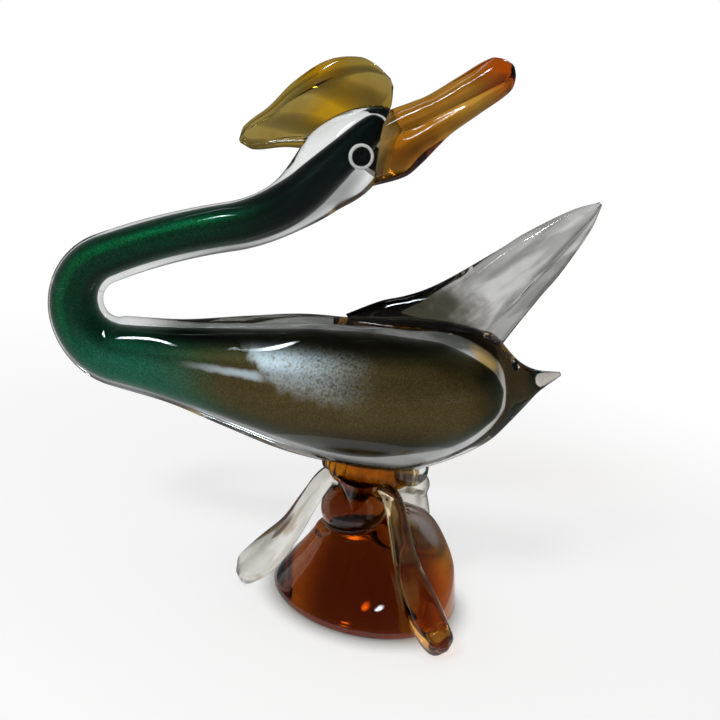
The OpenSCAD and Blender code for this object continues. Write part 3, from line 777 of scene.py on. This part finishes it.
# %% Glass
def glass(name, tint, streaks, shade, absorb=None, density=0, ior=1.5, ripple=0.05, size=70, paint=None,
          rough=0.0):
    """Glass with a tint that runs between two colours in streaks, and a tint for its shadow."""
    f = new_finish(name)
    place = f.place()
    colour = f.mix(f.steps(f.noise(place, size, 3), 0.35, 0.7), tint, streaks)
    if paint:
        colour = paint(f, place, colour)
    bump = f.node("ShaderNodeBump", {
        "Strength": ripple, "Distance": 2 * MM, "Height": f.noise(place, size * 0.7, 1)})
    polished = f.node("ShaderNodeBsdfPrincipled", {
        "Base Color": colour, "Roughness": rough(f, place) if callable(rough) else rough, "IOR": ior,
        "Transmission Weight": 1.0, "Normal": bump})
    see_through = f.node("ShaderNodeBsdfTransparent", {"Color": shade})
    shadow = f.node("ShaderNodeLightPath")["Is Shadow Ray"]
    sockets = {"Surface": f.node("ShaderNodeMixShader", {0: shadow, 1: polished, 2: see_through})}
    if absorb:
        sockets["Volume"] = f.node("ShaderNodeVolumeAbsorption", {"Color": absorb, "Density": density})
    return f.done(**sockets)


CLEAR = (0.83, 0.845, 0.84), (0.75, 0.77, 0.765), (0.88, 0.88, 0.88)
clear_glass = glass("clear_glass", *CLEAR)
print("made", clear_glass.name)

# %% [markdown]
# ## Painted shade in the casing and the blade
# The clear glass is painted darker along the back, in the rump and in the blade. This is painted shade for
# the dark surroundings that the glass would show. A painted amber glint, the stand's amber as if seen through
# the rump, sits in the notch between rump and tail. Masks from the values that the skin keeps, broken up by
# drawn-out noise, tint the surface where the painted shade and the glint go. Each crossing of the skin takes
# only the square root of a tint, so the dark ones are very dark.

# %% Casing and blade glass
BACK_PAINTED_SHADE = (0.012, 0.013, 0.01), (0.09, 0.094, 0.085)
RUMP_PAINTED_SHADE = (0.45, 0.44, 0.41), (0.02, 0.019, 0.014)
SPIKE_TINT, SPIKE_TIP = ((0.8, 0.75, 0.66), (0.9, 0.86, 0.8)), (0.5, 0.47, 0.42)
NOTCH_PAINTED_GLINT, BLADE_PAINTED_SHADE, BLADE_ROOT_PAINTED_SHADE = (0.75, 0.36, 0.03), (0.26, 0.26, 0.25), (0.06, 0.056, 0.038)


def shaded_rump_and_glint(f, place, colour):
    """Painted shade in swirls along the back, a rump painted darker towards its top with a pale spike, and a
    painted amber glint in the notch.
    """
    share, height = f.share("along"), f.share("height")
    swirls = f.steps(f.noise(place, 70, 4, -20, 5), 0.36, 0.62)
    back = f.steps(height, -0.6, -0.76) * f.steps(share, 0.49, 0.43)
    # Painted shade: dark swirls along the back, where the glass would show dark surroundings.
    colour = f.mix(back, colour, f.mix(swirls, *BACK_PAINTED_SHADE))
    # Painted shade: the rump is darker towards its top.
    rump = f.mix(f.steps(height, 0.2, -0.4), *RUMP_PAINTED_SHADE)
    colour = f.mix(f.steps(share, 0.11, 0.085), colour, rump)
    colour = f.mix(f.steps(share, 0.07, 0.06), colour, f.mix(swirls, *SPIKE_TINT))
    colour = f.mix(f.steps(share, 0.035, 0.025), colour, SPIKE_TIP)
    # Painted glint: amber in the notch, as if the stand showed through.
    notch = f.steps(height, -0.3, -0.6) * f.steps(share, 0.05, 0.062) * f.steps(share, 0.1, 0.088)
    return f.mix(notch * swirls, colour, NOTCH_PAINTED_GLINT)


def shaded_blade(f, place, colour):
    """Painted shade in grey streaks along the blade, and a painted olive shade at its root, on the side of
    the neck, where the core would show through.
    """
    out, over = f.reach(place, TAIL_ROOT, TAIL_RISE), f.reach(place, TAIL_ROOT, TAIL_RISE + 90)
    streaks = f.noise(place, 130, 3, TAIL_RISE - 6, 7)
    # Painted shade: grey streaks along the blade.
    colour = f.mix(f.steps(streaks, 0.45, 0.58), colour, BLADE_PAINTED_SHADE)
    # Painted shade: an olive cloud at the root, where the core and dark surroundings would show through.
    cloud = f.noise(place, 90, 3) - 0.5
    root = f.steps(out + cloud * 40, 62, 44) * f.steps(over + cloud * 20, -16, -2)
    return f.mix(root, colour, BLADE_ROOT_PAINTED_SHADE)


casing_glass = glass("casing_glass", *CLEAR, paint=shaded_rump_and_glint)
# The blade's grey tint is painted shade for dark surroundings seen through it.
shaded_blade_glass = glass("shaded_blade_glass", (0.62, 0.62, 0.61), (0.46, 0.46, 0.45), (0.8, 0.8, 0.8), ripple=0.03,
                    paint=shaded_blade)
print("made", casing_glass.name, "and", shaded_blade_glass.name)

# %% [markdown]
# ## Yellow glass of the crest and the bill
# The crest is honey yellow, with a painted caustic in its middle: a patch of warmer yellow where bent light
# would gather. The bill is nearly clear at its root and deep orange at its tip, with pale streaks between. A
# ramp would do for an even change. Soft steps along the piece do it here, because noise can be laid over each
# of them.

# %% Crest and bill glass
CAUSTIC_YELLOW = (0.55, 0.34, 0.015)
BILL_ROOT, BILL_STREAK, BILL_TIP = (0.7, 0.6, 0.4), (0.78, 0.66, 0.42), (0.5, 0.13, 0.01)


def painted_caustic_patch(f, place, colour):
    """A painted caustic: a yellow patch of bent light in the middle of the crest."""
    out = f.reach(place, crest_start, 180 + CREST_FALL)
    cloud = f.noise(place, 110, 3, CREST_FALL, 3)
    # Painted light: the caustic patch, masked along the crest and broken up by noise.
    return f.mix(f.steps(out, 8, 20) * f.steps(out, 48, 28) * f.steps(cloud, 0.4, 0.62), colour, CAUSTIC_YELLOW)


def deep_tip(f, place, colour):
    """Pale glass at the root of the bill, streaks along it and deep orange at its tip."""
    out = f.reach(place, bill_start, BILL_RISE)
    colour = f.mix(f.steps(out, 24, 12) * 0.6, colour, BILL_ROOT)
    streaks = f.steps(f.noise(place, 120, 3, BILL_RISE, 7), 0.5, 0.66)
    colour = f.mix(streaks * f.steps(out, 6, 20), colour, BILL_STREAK)
    return f.mix(f.steps(out, 50, 68), colour, BILL_TIP)


# Both tints are darker than the glass's own colour: partly its colour, partly painted shade for dark
# surroundings seen through it.
honey_glass = glass("honey_glass", (0.36, 0.3, 0.15), (0.3, 0.22, 0.07), (0.85, 0.7, 0.35),
                    (0.78, 0.66, 0.0), 180, paint=painted_caustic_patch)
orange_glass = glass("orange_glass", (0.44, 0.37, 0.25), (0.36, 0.25, 0.13), (0.85, 0.6, 0.25),
                     (0.88, 0.68, 0.05), 220, ripple=0.03, paint=deep_tip)
print("made", honey_glass.name, "and", orange_glass.name)

# %% [markdown]
# ## Glass of the stand
# The dome's flanks are tinted: amber towards the neck, and a painted yellow light low towards the tail. Its
# shoulder is a little dull. The collar and the drip are amber right through. The left leg has brown and pale
# streaks, the front leg is amber at its pad, and the short one is frosted. Each colour could be split into
# pieces of plain glass, but on the real stand they run into each other, so they and the painted light are
# soft masks in one finish.

# %% Dome, bell and bulb glass
NECK_FLANK, TAIL_FLANK_LIGHT = (0.55, 0.42, 0.03), (1.0, 0.72, 0.06)


def flank_tint_and_light(f, place, colour):
    """An amber tint on the flank towards the neck, and painted yellow light low on the flank towards the
    tail.
    """
    axes = f.axes(place)
    colour = f.mix(f.steps(axes["X"], -0.006, -0.018), colour, NECK_FLANK)
    # Painted light: yellow low on the flank towards the tail.
    return f.mix(f.steps(axes["X"], 0.01, 0.02) * f.steps(axes["Z"], 0.034, 0.024), colour, TAIL_FLANK_LIGHT)


def dull_shoulder(f, place):
    """A dull patch on the dome's shoulder, on the side of the tail."""
    axes = f.axes(place)
    return f.steps(axes["X"], 0.008, 0.018) * f.steps(axes["Z"], 0.014, 0.024) * 0.28


INNER = (1, 1, 1), (1, 0.97, 0.9), (0.7, 0.4, 0.15)
INNER_IOR = 1.01
dome_glass = glass("dome_glass", (0.9, 0.9, 0.89), (0.82, 0.82, 0.8), (0.88, 0.88, 0.88), ripple=0.12,
                   size=45, paint=flank_tint_and_light, rough=dull_shoulder)
bell_amber = glass("bell_amber", *INNER, (0.773, 0.513, 0.0), 150, ior=INNER_IOR)
bulb_amber = glass("bulb_amber", *INNER, (0.74, 0.5, 0.0), 290, ior=INNER_IOR)
amber_glass = glass("amber_glass", (1, 0.82, 0.4), (0.25, 0.12, 0.04), (0.85, 0.55, 0.25),
                    (0.84, 0.68, 0.05), 280, size=130)
dark_amber = glass("dark_amber", (1, 0.8, 0.5), (0.7, 0.4, 0.2), (0.7, 0.4, 0.2), (0.66, 0.42, 0.0), 260)
print("made", [m.name for m in (dome_glass, bell_amber, bulb_amber, amber_glass, dark_amber)])

# %% Leg glass
PALE_STREAK, WHITE_STREAK, BROWN_STREAK = (0.92, 0.9, 0.84), (0.92, 0.92, 0.9), (0.34, 0.26, 0.17)
PAD_AMBER, LEG_SHADE = (0.86, 0.5, 0.16), (0.8, 0.79, 0.75)


def brown_streaks(f, place, colour):
    """Thin brown and wide pale streaks down a leg that leans to the neck."""
    streaks = f.noise(place, 150, 3, 66, 9)
    colour = f.mix(f.steps(streaks, 0.48, 0.36), colour, WHITE_STREAK)
    return f.mix(f.steps(streaks, 0.56, 0.66), colour, BROWN_STREAK)


def amber_pad(f, place, colour):
    """Amber in the pad of a leg and clear glass over it."""
    return f.mix(f.steps(f.axes(place)["Z"], 0.026, 0.012), colour, PAD_AMBER)


def pale_streaks(f, place, colour):
    """Pale upright streaks in a leg."""
    return f.mix(f.steps(f.noise(place, 150, 3, 80, 6), 0.42, 0.6), colour, PALE_STREAK)


# The left leg's grey tint is partly its own brownish tint and partly painted shade for dark surroundings seen
# through it.
leg_glass = glass("leg_glass", (0.74, 0.72, 0.67), (0.58, 0.55, 0.49), LEG_SHADE, paint=brown_streaks)
leg_amber = glass("warm_clear_glass", (0.86, 0.8, 0.72), (0.8, 0.7, 0.58), (0.85, 0.7, 0.5),
                  (0.83, 0.6, 0.05), 60, paint=amber_pad)
lobe_glass = glass("frosted_glass", (0.8, 0.77, 0.7), (0.66, 0.62, 0.54), LEG_SHADE, paint=pale_streaks,
                   rough=0.35)
print("made", [m.name for m in (leg_glass, leg_amber, lobe_glass)])

# %% [markdown]
# ## The core's finish
# The core was rolled in coloured powder with fine metal flakes: dark green in the neck, nearly black in the
# head and olive gold in the body. The breast is brighter green, partly its own colour and partly a painted
# highlight, and a band of brighter green along the neck is a painted highlight. The olive is painted darker
# along the top and bottom and at the rear end, as painted shade where the round core turns away. An image
# painted for it would need a flat layout. Masks along and round the core need none, and a fine Voronoi
# pattern makes the flakes. A pale patch on its side, with a streak towards the breast, is a painted
# highlight: white colour and a strong coat under one more mask.

# %% Green and gold
GREEN = (0.0005, 0.03, 0.014), (0.001, 0.065, 0.026)
HIGHLIGHT_GREEN = (0.0005, 0.06, 0.02), (0.002, 0.17, 0.05)
BREAST = (0.008, 0.11, 0.065), (0.025, 0.23, 0.135)
OLIVE = (0.085, 0.058, 0.016), (0.15, 0.108, 0.034)
HEAD_GREEN, OLIVE_SHADE = (0.0008, 0.007, 0.006), (0.018, 0.03, 0.01)
FLAKE_SCALE = 3600

f = new_finish("green_and_gold")
place, along_core, height = f.place(), f.share("along"), f.share("height")
cloud = f.noise(place, 45, 4) - 0.5
flakes = f.node("ShaderNodeTexVoronoi", {"Vector": place, "Scale": FLAKE_SCALE})
glint = f.node("ShaderNodeSeparateColor", {"Color": flakes["Color"]})
sparkle = f.steps(glint, 0.3, 1.0)
# Painted highlight: a band of brighter green along one side of the neck, over the real flakes.
highlight_band = f.steps(height + cloud * 0.3, 0.1, 0.5) * f.steps(height, 0.95, 0.6)
green = f.mix(highlight_band, f.mix(sparkle, *GREEN), f.mix(sparkle, *HIGHLIGHT_GREEN))
# The breast's brighter green is partly its own colour and partly a painted highlight that goes on from the
# band.
breast = f.steps(along_core, 0.3, 0.38) * f.steps(along_core, 0.56, 0.45) * f.steps(height, -0.8, 0.1)
green = f.mix(breast, green, f.mix(sparkle, *BREAST))
green = f.mix(f.steps(along_core + cloud * 0.04, 0.72, 0.86), green, HEAD_GREEN)
# Painted shade: darker olive along the top and bottom of the core and at its rear end, where it turns away.
edge = f.steps(height, 0.55, 1.0) + f.steps(height, -0.6, -1.1) * 0.7 + f.steps(along_core, 0.03, 0.0)
olive = f.mix(edge, f.mix(sparkle, *OLIVE), OLIVE_SHADE)
gold = f.steps(along_core + cloud * 0.08 + height * height * 0.05, 0.46, 0.27)
colour = f.mix(gold, green, olive)
print("colours of the core laid out in", len(f.tree.nodes), "nodes")

# %% Painted highlight
PAINTED_HIGHLIGHT_COLOUR, PAINTED_HIGHLIGHT_SHARE = (0.9, 0.98, 1), 0.97

grain, specks = f.noise(place, 260, 10), f.noise(place, 1100, 3)
rough_edge = grain - 0.5
lower = (0.274 - along_core) * 2.3 - 0.3
front = along_core + (height + 0.8) * 0.05 + rough_edge * 0.03
# Painted highlight: a pale grainy patch on the side of the body, whitened colour under a bluish coat.
painted_highlight = f.steps(front, 0.31, 0.29) * f.steps(along_core, 0.13, 0.28)
painted_highlight = painted_highlight * f.steps(height - lower + rough_edge * 0.5, 0.32, -0.32) * f.steps(height, -1, -0.75)
painted_highlight = painted_highlight * f.steps(grain, 0.2, 0.48) * f.steps(specks + along_core * 1.6, 0.5, 1.0)
# Painted highlight: a thin streak towards the breast.
painted_streak = f.steps(along_core, 0.39, 0.3) * f.steps(along_core, 0.27, 0.29)
painted_highlight = painted_highlight.or_more(painted_streak * f.steps(abs(height + 0.3 + rough_edge * 0.1), 0.15, 0.02))
bump = f.node("ShaderNodeBump", {"Strength": 0.2, "Distance": 0.2 * MM, "Height": glint})
core_finish = f.done(Surface=f.node("ShaderNodeBsdfPrincipled", {
    "Base Color": f.mix(painted_highlight * PAINTED_HIGHLIGHT_SHARE, colour, PAINTED_HIGHLIGHT_COLOUR), "Roughness": 0.4, "Metallic": 0.7,
    "Specular IOR Level": 0.1, "Normal": bump, "Coat Weight": painted_highlight, "Coat Roughness": 0.36, "Coat IOR": 2.6,
    "Coat Tint": (0.86, 0.94, 1)}))
print("made", core_finish.name)

# %% [markdown]
# ## The canes of the eyes
# The eyes are opaque glass, white round black. A plain colour would do from afar. Close by, pulled cane is a
# little cloudy, so fine noise runs between two shades of each.

# %% Canes
def cane(name, colour, other, rough):
    """Opaque glass that runs between two shades."""
    f = new_finish(name)
    cloud = f.noise(f.place(), 900, 3)
    return f.done(Surface=f.node("ShaderNodeBsdfPrincipled", {
        "Base Color": f.mix(f.steps(cloud, 0.35, 0.7), colour, other), "Roughness": rough,
        "Specular IOR Level": 0.25}))


white_cane = cane("white_cane", (0.82, 0.82, 0.8), (0.7, 0.71, 0.7), 0.15)
black_cane = cane("black_cane", (0.003, 0.004, 0.004), (0.008, 0.009, 0.01), 0.08)
print("made", white_cane.name, "and", black_cane.name)

# %% [markdown]
# ## Dressing the pieces
# Each piece gets its finish, and the solids that it stands for are hidden. All of them ride one body, because
# the real pieces were fused while hot and nothing moves.

# %% Dress the pieces
dressed = []


def dress(piece, finish, slot, *nodes):
    """Give a piece its finish, and enter it in the table of pieces."""
    dressed.append(piece.name)
    piece.data.materials.clear()
    piece.data.materials.append(finish)
    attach(piece, "root")
    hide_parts(*nodes)


dress(casing, casing_glass, "clear_glass", "body_casing")
dress(tail, shaded_blade_glass, "clear_glass", "tail_fin")
dress(core, core_finish, "gold_core", "body_core", "neck_core")
dress(crest, honey_glass, "honey_glass", "crest")
dress(bill, orange_glass, "amber_glass", "upper_bill", "lower_bill")
dress(dome, dome_glass, "clear_glass", "base_casing")
dress(pad, clear_glass, "clear_glass", "seat_pad")
dress(bell, bell_amber, "amber_glass", "base_core")
dress(bulb, bulb_amber, "amber_glass", "stem_bulb")
dress(collar, amber_glass, "amber_glass", "collar")
dress(drip, dark_amber, "amber_glass", "collar_drip")
for node, finish in (("left_leg", leg_glass), ("front_leg", leg_amber), ("back_leg", lobe_glass)):
    dress(legs[node], finish, "clear_glass", node)
for node, piece in eyes.items():
    if node.endswith("ring"):
        dress(piece, white_cane, "eye_white", node)
    else:
        dress(piece, black_cane, "eye_black", node)
print("dressed", len(dressed), "pieces:", dressed)

# %% [markdown]
# ## Floor and room
# The bird stands on white paper in a white room. More light would make them white and bleach the bird, so the
# Light Path node makes them white only for rays that show them: from the camera, mirrored or bent. Close to
# the foot the paper has no such glow. This paints a soft shade round and under the foot, over the shadow that
# the lamp casts.

# %% Floor
FLOOR_HALF, FLOOR_Z = 4.0, -0.0002


def seen(f):
    """1 for rays that show the background: straight from the camera, mirrored or bent by glass."""
    path = f.node("ShaderNodeLightPath")
    return path["Is Camera Ray"].or_more(path["Is Glossy Ray"]).or_more(path["Is Transmission Ray"])


def stage_sheet(name, points, faces):
    """A mesh that belongs to the studio and not to the bird."""
    mesh = bpy.data.meshes.new(name)
    mesh.from_pydata(points, [], faces)
    made = bpy.data.objects.new(name, mesh)
    bpy.context.scene.collection.objects.link(made)
    return made


def flat_sheet(name, x, y):
    """A level rectangle, from its half length and half width."""
    return stage_sheet(name, [(-x, -y, 0), (x, -y, 0), (x, y, 0), (-x, y, 0)], [(0, 1, 2, 3)])


floor = flat_sheet("floor", FLOOR_HALF, FLOOR_HALF)
floor.location.z = FLOOR_Z
f = new_finish("white_floor")
shown, away = seen(f), f.length(f.place())
paper = f.node("ShaderNodeBsdfDiffuse", {"Color": (0.6, 0.6, 0.6)})
glow = f.node("ShaderNodeEmission", {"Strength": 0.55})
# No glow within 3.4 cm of the foot's middle, fading in by 5 cm: painted shade round and under the foot.
lift = f.node("ShaderNodeMixShader", {0: shown * f.steps(away, 0.034, 0.05), 2: glow})
near = f.node("ShaderNodeAddShader", {0: paper, 1: lift})
far = f.node("ShaderNodeEmission", {"Strength": 1.0})
floor.data.materials.append(f.done(
    Surface=f.node("ShaderNodeMixShader", {0: f.steps(away, 0.15, 0.5) * shown, 1: near, 2: far})))
print("made", floor.name, "of", 2 * FLOOR_HALF, "m")

# %% Room
world = bpy.data.worlds.new("studio")
bpy.context.scene.world = world
f = Finish(world)
room = f.node("ShaderNodeBackground", {"Color": (1, 1, 1), "Strength": 0.45})
white = f.node("ShaderNodeBackground", {"Color": (1, 1, 1), "Strength": 1.0})
f.node("ShaderNodeOutputWorld", {
    "Surface": f.node("ShaderNodeMixShader", {0: seen(f), 1: room, 2: white})})
print("made", world.name)

# %% [markdown]
# ## Dark cloths
# Clear glass shows its form by the dark things that it mirrors and bends into view, which is why dark cloth
# is hung round it in a studio. In an all-white room it would vanish. One canopy is seen through the glass,
# another in its surface, and a cloth lies round the foot. None of them is seen directly or shades the bird.

# %% Dark cloths
CANOPY_R = 1.5
CLOTH_Z = 0.0005


def rows_of_points(rows, turns=64):
    """Rings of points from rows of radius and height, and the faces between them."""
    points = [(r * math.cos(2 * math.pi * j / turns), r * math.sin(2 * math.pi * j / turns), z)
              for r, z in rows for j in range(turns)]
    faces = [(low + j, low + (j + 1) % turns, low + turns + (j + 1) % turns, low + turns + j)
             for low in range(0, (len(rows) - 1) * turns, turns) for j in range(turns)]
    return points, faces


def cloth(name, rows, stops, by_height, mirrored, bent, flanks=None):
    """A cloth that only mirrored or bent rays see, with greys by its height or by its distance."""
    made = stage_sheet(name, *rows_of_points(rows))
    made.visible_camera = made.visible_diffuse = made.visible_shadow = made.visible_volume_scatter = False
    made.visible_glossy, made.visible_transmission = mirrored, bent
    f = new_finish(name)
    place = f.place()
    axes = f.axes(place)
    level = axes["Z"] if by_height else f.length(place)
    grey = f.node("ShaderNodeValToRGB", {"Fac": level * (1 / CANOPY_R)},
                  stops=[(at / CANOPY_R, grey) for at, grey in stops])
    if flanks:
        aside = f.steps(abs(axes["X"]), 0.45, 1.0) * f.steps(level, 0.1, 0.25) * f.steps(level, 1.1, 0.9)
        grey = f.mix(aside, grey, (flanks, flanks, flanks))
    made.data.materials.append(f.done(
        Surface=f.node("ShaderNodeEmission", {"Color": grey, "Strength": 1.0})))
    return made


lean = [math.radians(a) for a in (0.2, 3, 6, 10, 15, 20, 30, 40, 50, 60, 70, 80, 89)]
dome_rows = [(CANOPY_R * math.cos(a), CANOPY_R * math.sin(a)) for a in lean]
cloths = [
    cloth("bent_canopy", dome_rows[1:], [
        (0.08, 0.9), (0.21, 0.6), (0.39, 0.45), (0.56, 0.4), (0.86, 0.4), (1.06, 0.15), (1.5, 0.03)],
        True, False, True, 1.0),
    cloth("mirror_canopy", dome_rows, [(0, 0.12), (0.3, 0.09), (0.8, 0.05), (1.5, 0.03)], True, True, False),
    cloth("floor_cloth", [(r, CLOTH_Z) for r in (0.07, 0.2, 0.5, CANOPY_R)],
          [(0.07, 0.3), (0.16, 0.16), (0.4, 0.1), (1.5, 0.1)], False, True, False)]
print("cloths hung:", [made.name for made in cloths])

# %% [markdown]
# ## Lamp and cards
# One lamp stands for a window and lights the bird. A highlight in polished glass is the mirror image of
# something bright, and a bare lamp would show as a hard square. So the lamp is hidden from the glass, and
# soft glowing cards, which show in the glass alone, stand where each highlight calls for one. Light linking
# keeps the window's card off the dome and gives the dome a spot of its own.

# %% Lamp
TARGET = (-0.02, 0, 0.1)


def aimed(made, place, roll=0):
    """Put a lamp or a card at a place, turned to the bird and rolled by some degrees."""
    made.location = place
    turned = (Vector(TARGET) - Vector(place)).to_track_quat("-Z", "Y").to_matrix()
    made.rotation_euler = (turned @ Matrix.Rotation(math.radians(roll), 3, "Z")).to_euler()
    return made


def lamp(name, place, size, watts):
    """A lamp that lights the bird without showing its sharp edge in the glass."""
    data = bpy.data.lights.new(name, "AREA")
    data.shape, data.size, data.size_y, data.energy = "RECTANGLE", *size, watts
    made = bpy.data.objects.new(name, data)
    bpy.context.scene.collection.objects.link(made)
    made.visible_glossy = made.visible_transmission = False
    return aimed(made, place)


window = lamp("window", (-0.40, -0.56, 0.74), (0.14, 0.2), 2.6)
print("placed the lamp", window.name, "of", round(window.data.energy, 1), "W")

# %% Cards
CARD_COLOUR = (0.82, 0.93, 1)


def card(name, place, size, strength, roll=0, only=None, skip=None):
    """A soft-edged glow that only shows in the glass: of all pieces, of one, or of all but one."""
    x, y = size[0] / 2, size[1] / 2
    made = aimed(flat_sheet(name, x, y), place, roll)
    made.visible_camera = made.visible_diffuse = made.visible_shadow = False
    f = new_finish(name)
    place = f.place()
    wide = f.node("ShaderNodeVectorMath", {0: place, 1: (1 / x, 1 / y, 1)}, operation="MULTIPLY")
    soft = f.steps(f.length(wide) + (f.noise(place, 3 / x, 4) - 0.5) * 0.5, 0.85, 0.1)
    glow = f.node("ShaderNodeEmission", {"Color": CARD_COLOUR, "Strength": strength})
    nothing = f.node("ShaderNodeBsdfTransparent")
    made.data.materials.append(f.done(
        Surface=f.node("ShaderNodeMixShader", {0: soft, 1: nothing, 2: glow})))
    if only or skip:
        linked = bpy.data.collections.new(name + "_link")
        linked.objects.link(only or skip)
        made.light_linking.receiver_collection = linked
        if skip:
            linked.collection_objects[0].light_linking.link_state = "EXCLUDE"
    return made


cards = [
    card("window_card", (-0.44, -0.36, 0.92), (0.1, 0.6), 60, roll=15, skip=dome),
    card("spot_card", (0.217, -0.754, 0.673), (0.22, 0.14), 40, only=dome),
    card("strip_card", (-0.42, 0.3, 0.95), (1.6, 0.1), 3),
    card("back_card", (0.2, 0.62, 0.8), (0.12, 0.12), 30),
    card("ember_card", (0.07, 0.915, 0.41), (0.07, 0.05), 9),
    card("spark_card", (0.166, 0.942, 0.31), (0.1, 0.05), 10),
    card("waist_card", (0.22, 0.76, 0.65), (0.34, 0.07), 10)]
print("placed", len(cards), "cards:", [made.name for made in cards])

# %% [markdown]
# ## Camera
# The camera stands 15 degrees above the level and 41 cm away, and it is turned by 10 degrees, so that the
# foot is level and its rim is the ellipse that is seen. Turning the bird would look the same, but then it
# would not stand on the floor.

# %% Camera
EYE, AIM = Vector((-0.0192, -0.396, 0.2092)), Vector((-0.0192, 0, 0.1031))
HALF_VIEW, ROLL = math.atan(0.36), math.radians(10)
camera = bpy.data.objects.new("camera", bpy.data.cameras.new("camera"))
bpy.context.scene.collection.objects.link(camera)
camera.location = EYE
turned = (AIM - EYE).to_track_quat("-Z", "Y").to_matrix()
camera.rotation_euler = (turned @ Matrix.Rotation(ROLL, 3, "Z")).to_euler()
camera.data.angle = 2 * HALF_VIEW
camera.data.clip_start = 0.01
bpy.context.scene.camera = camera
bpy.context.scene.view_settings.view_transform = "Standard"
print("camera", round((AIM - EYE).length / MM), "mm from its aim")
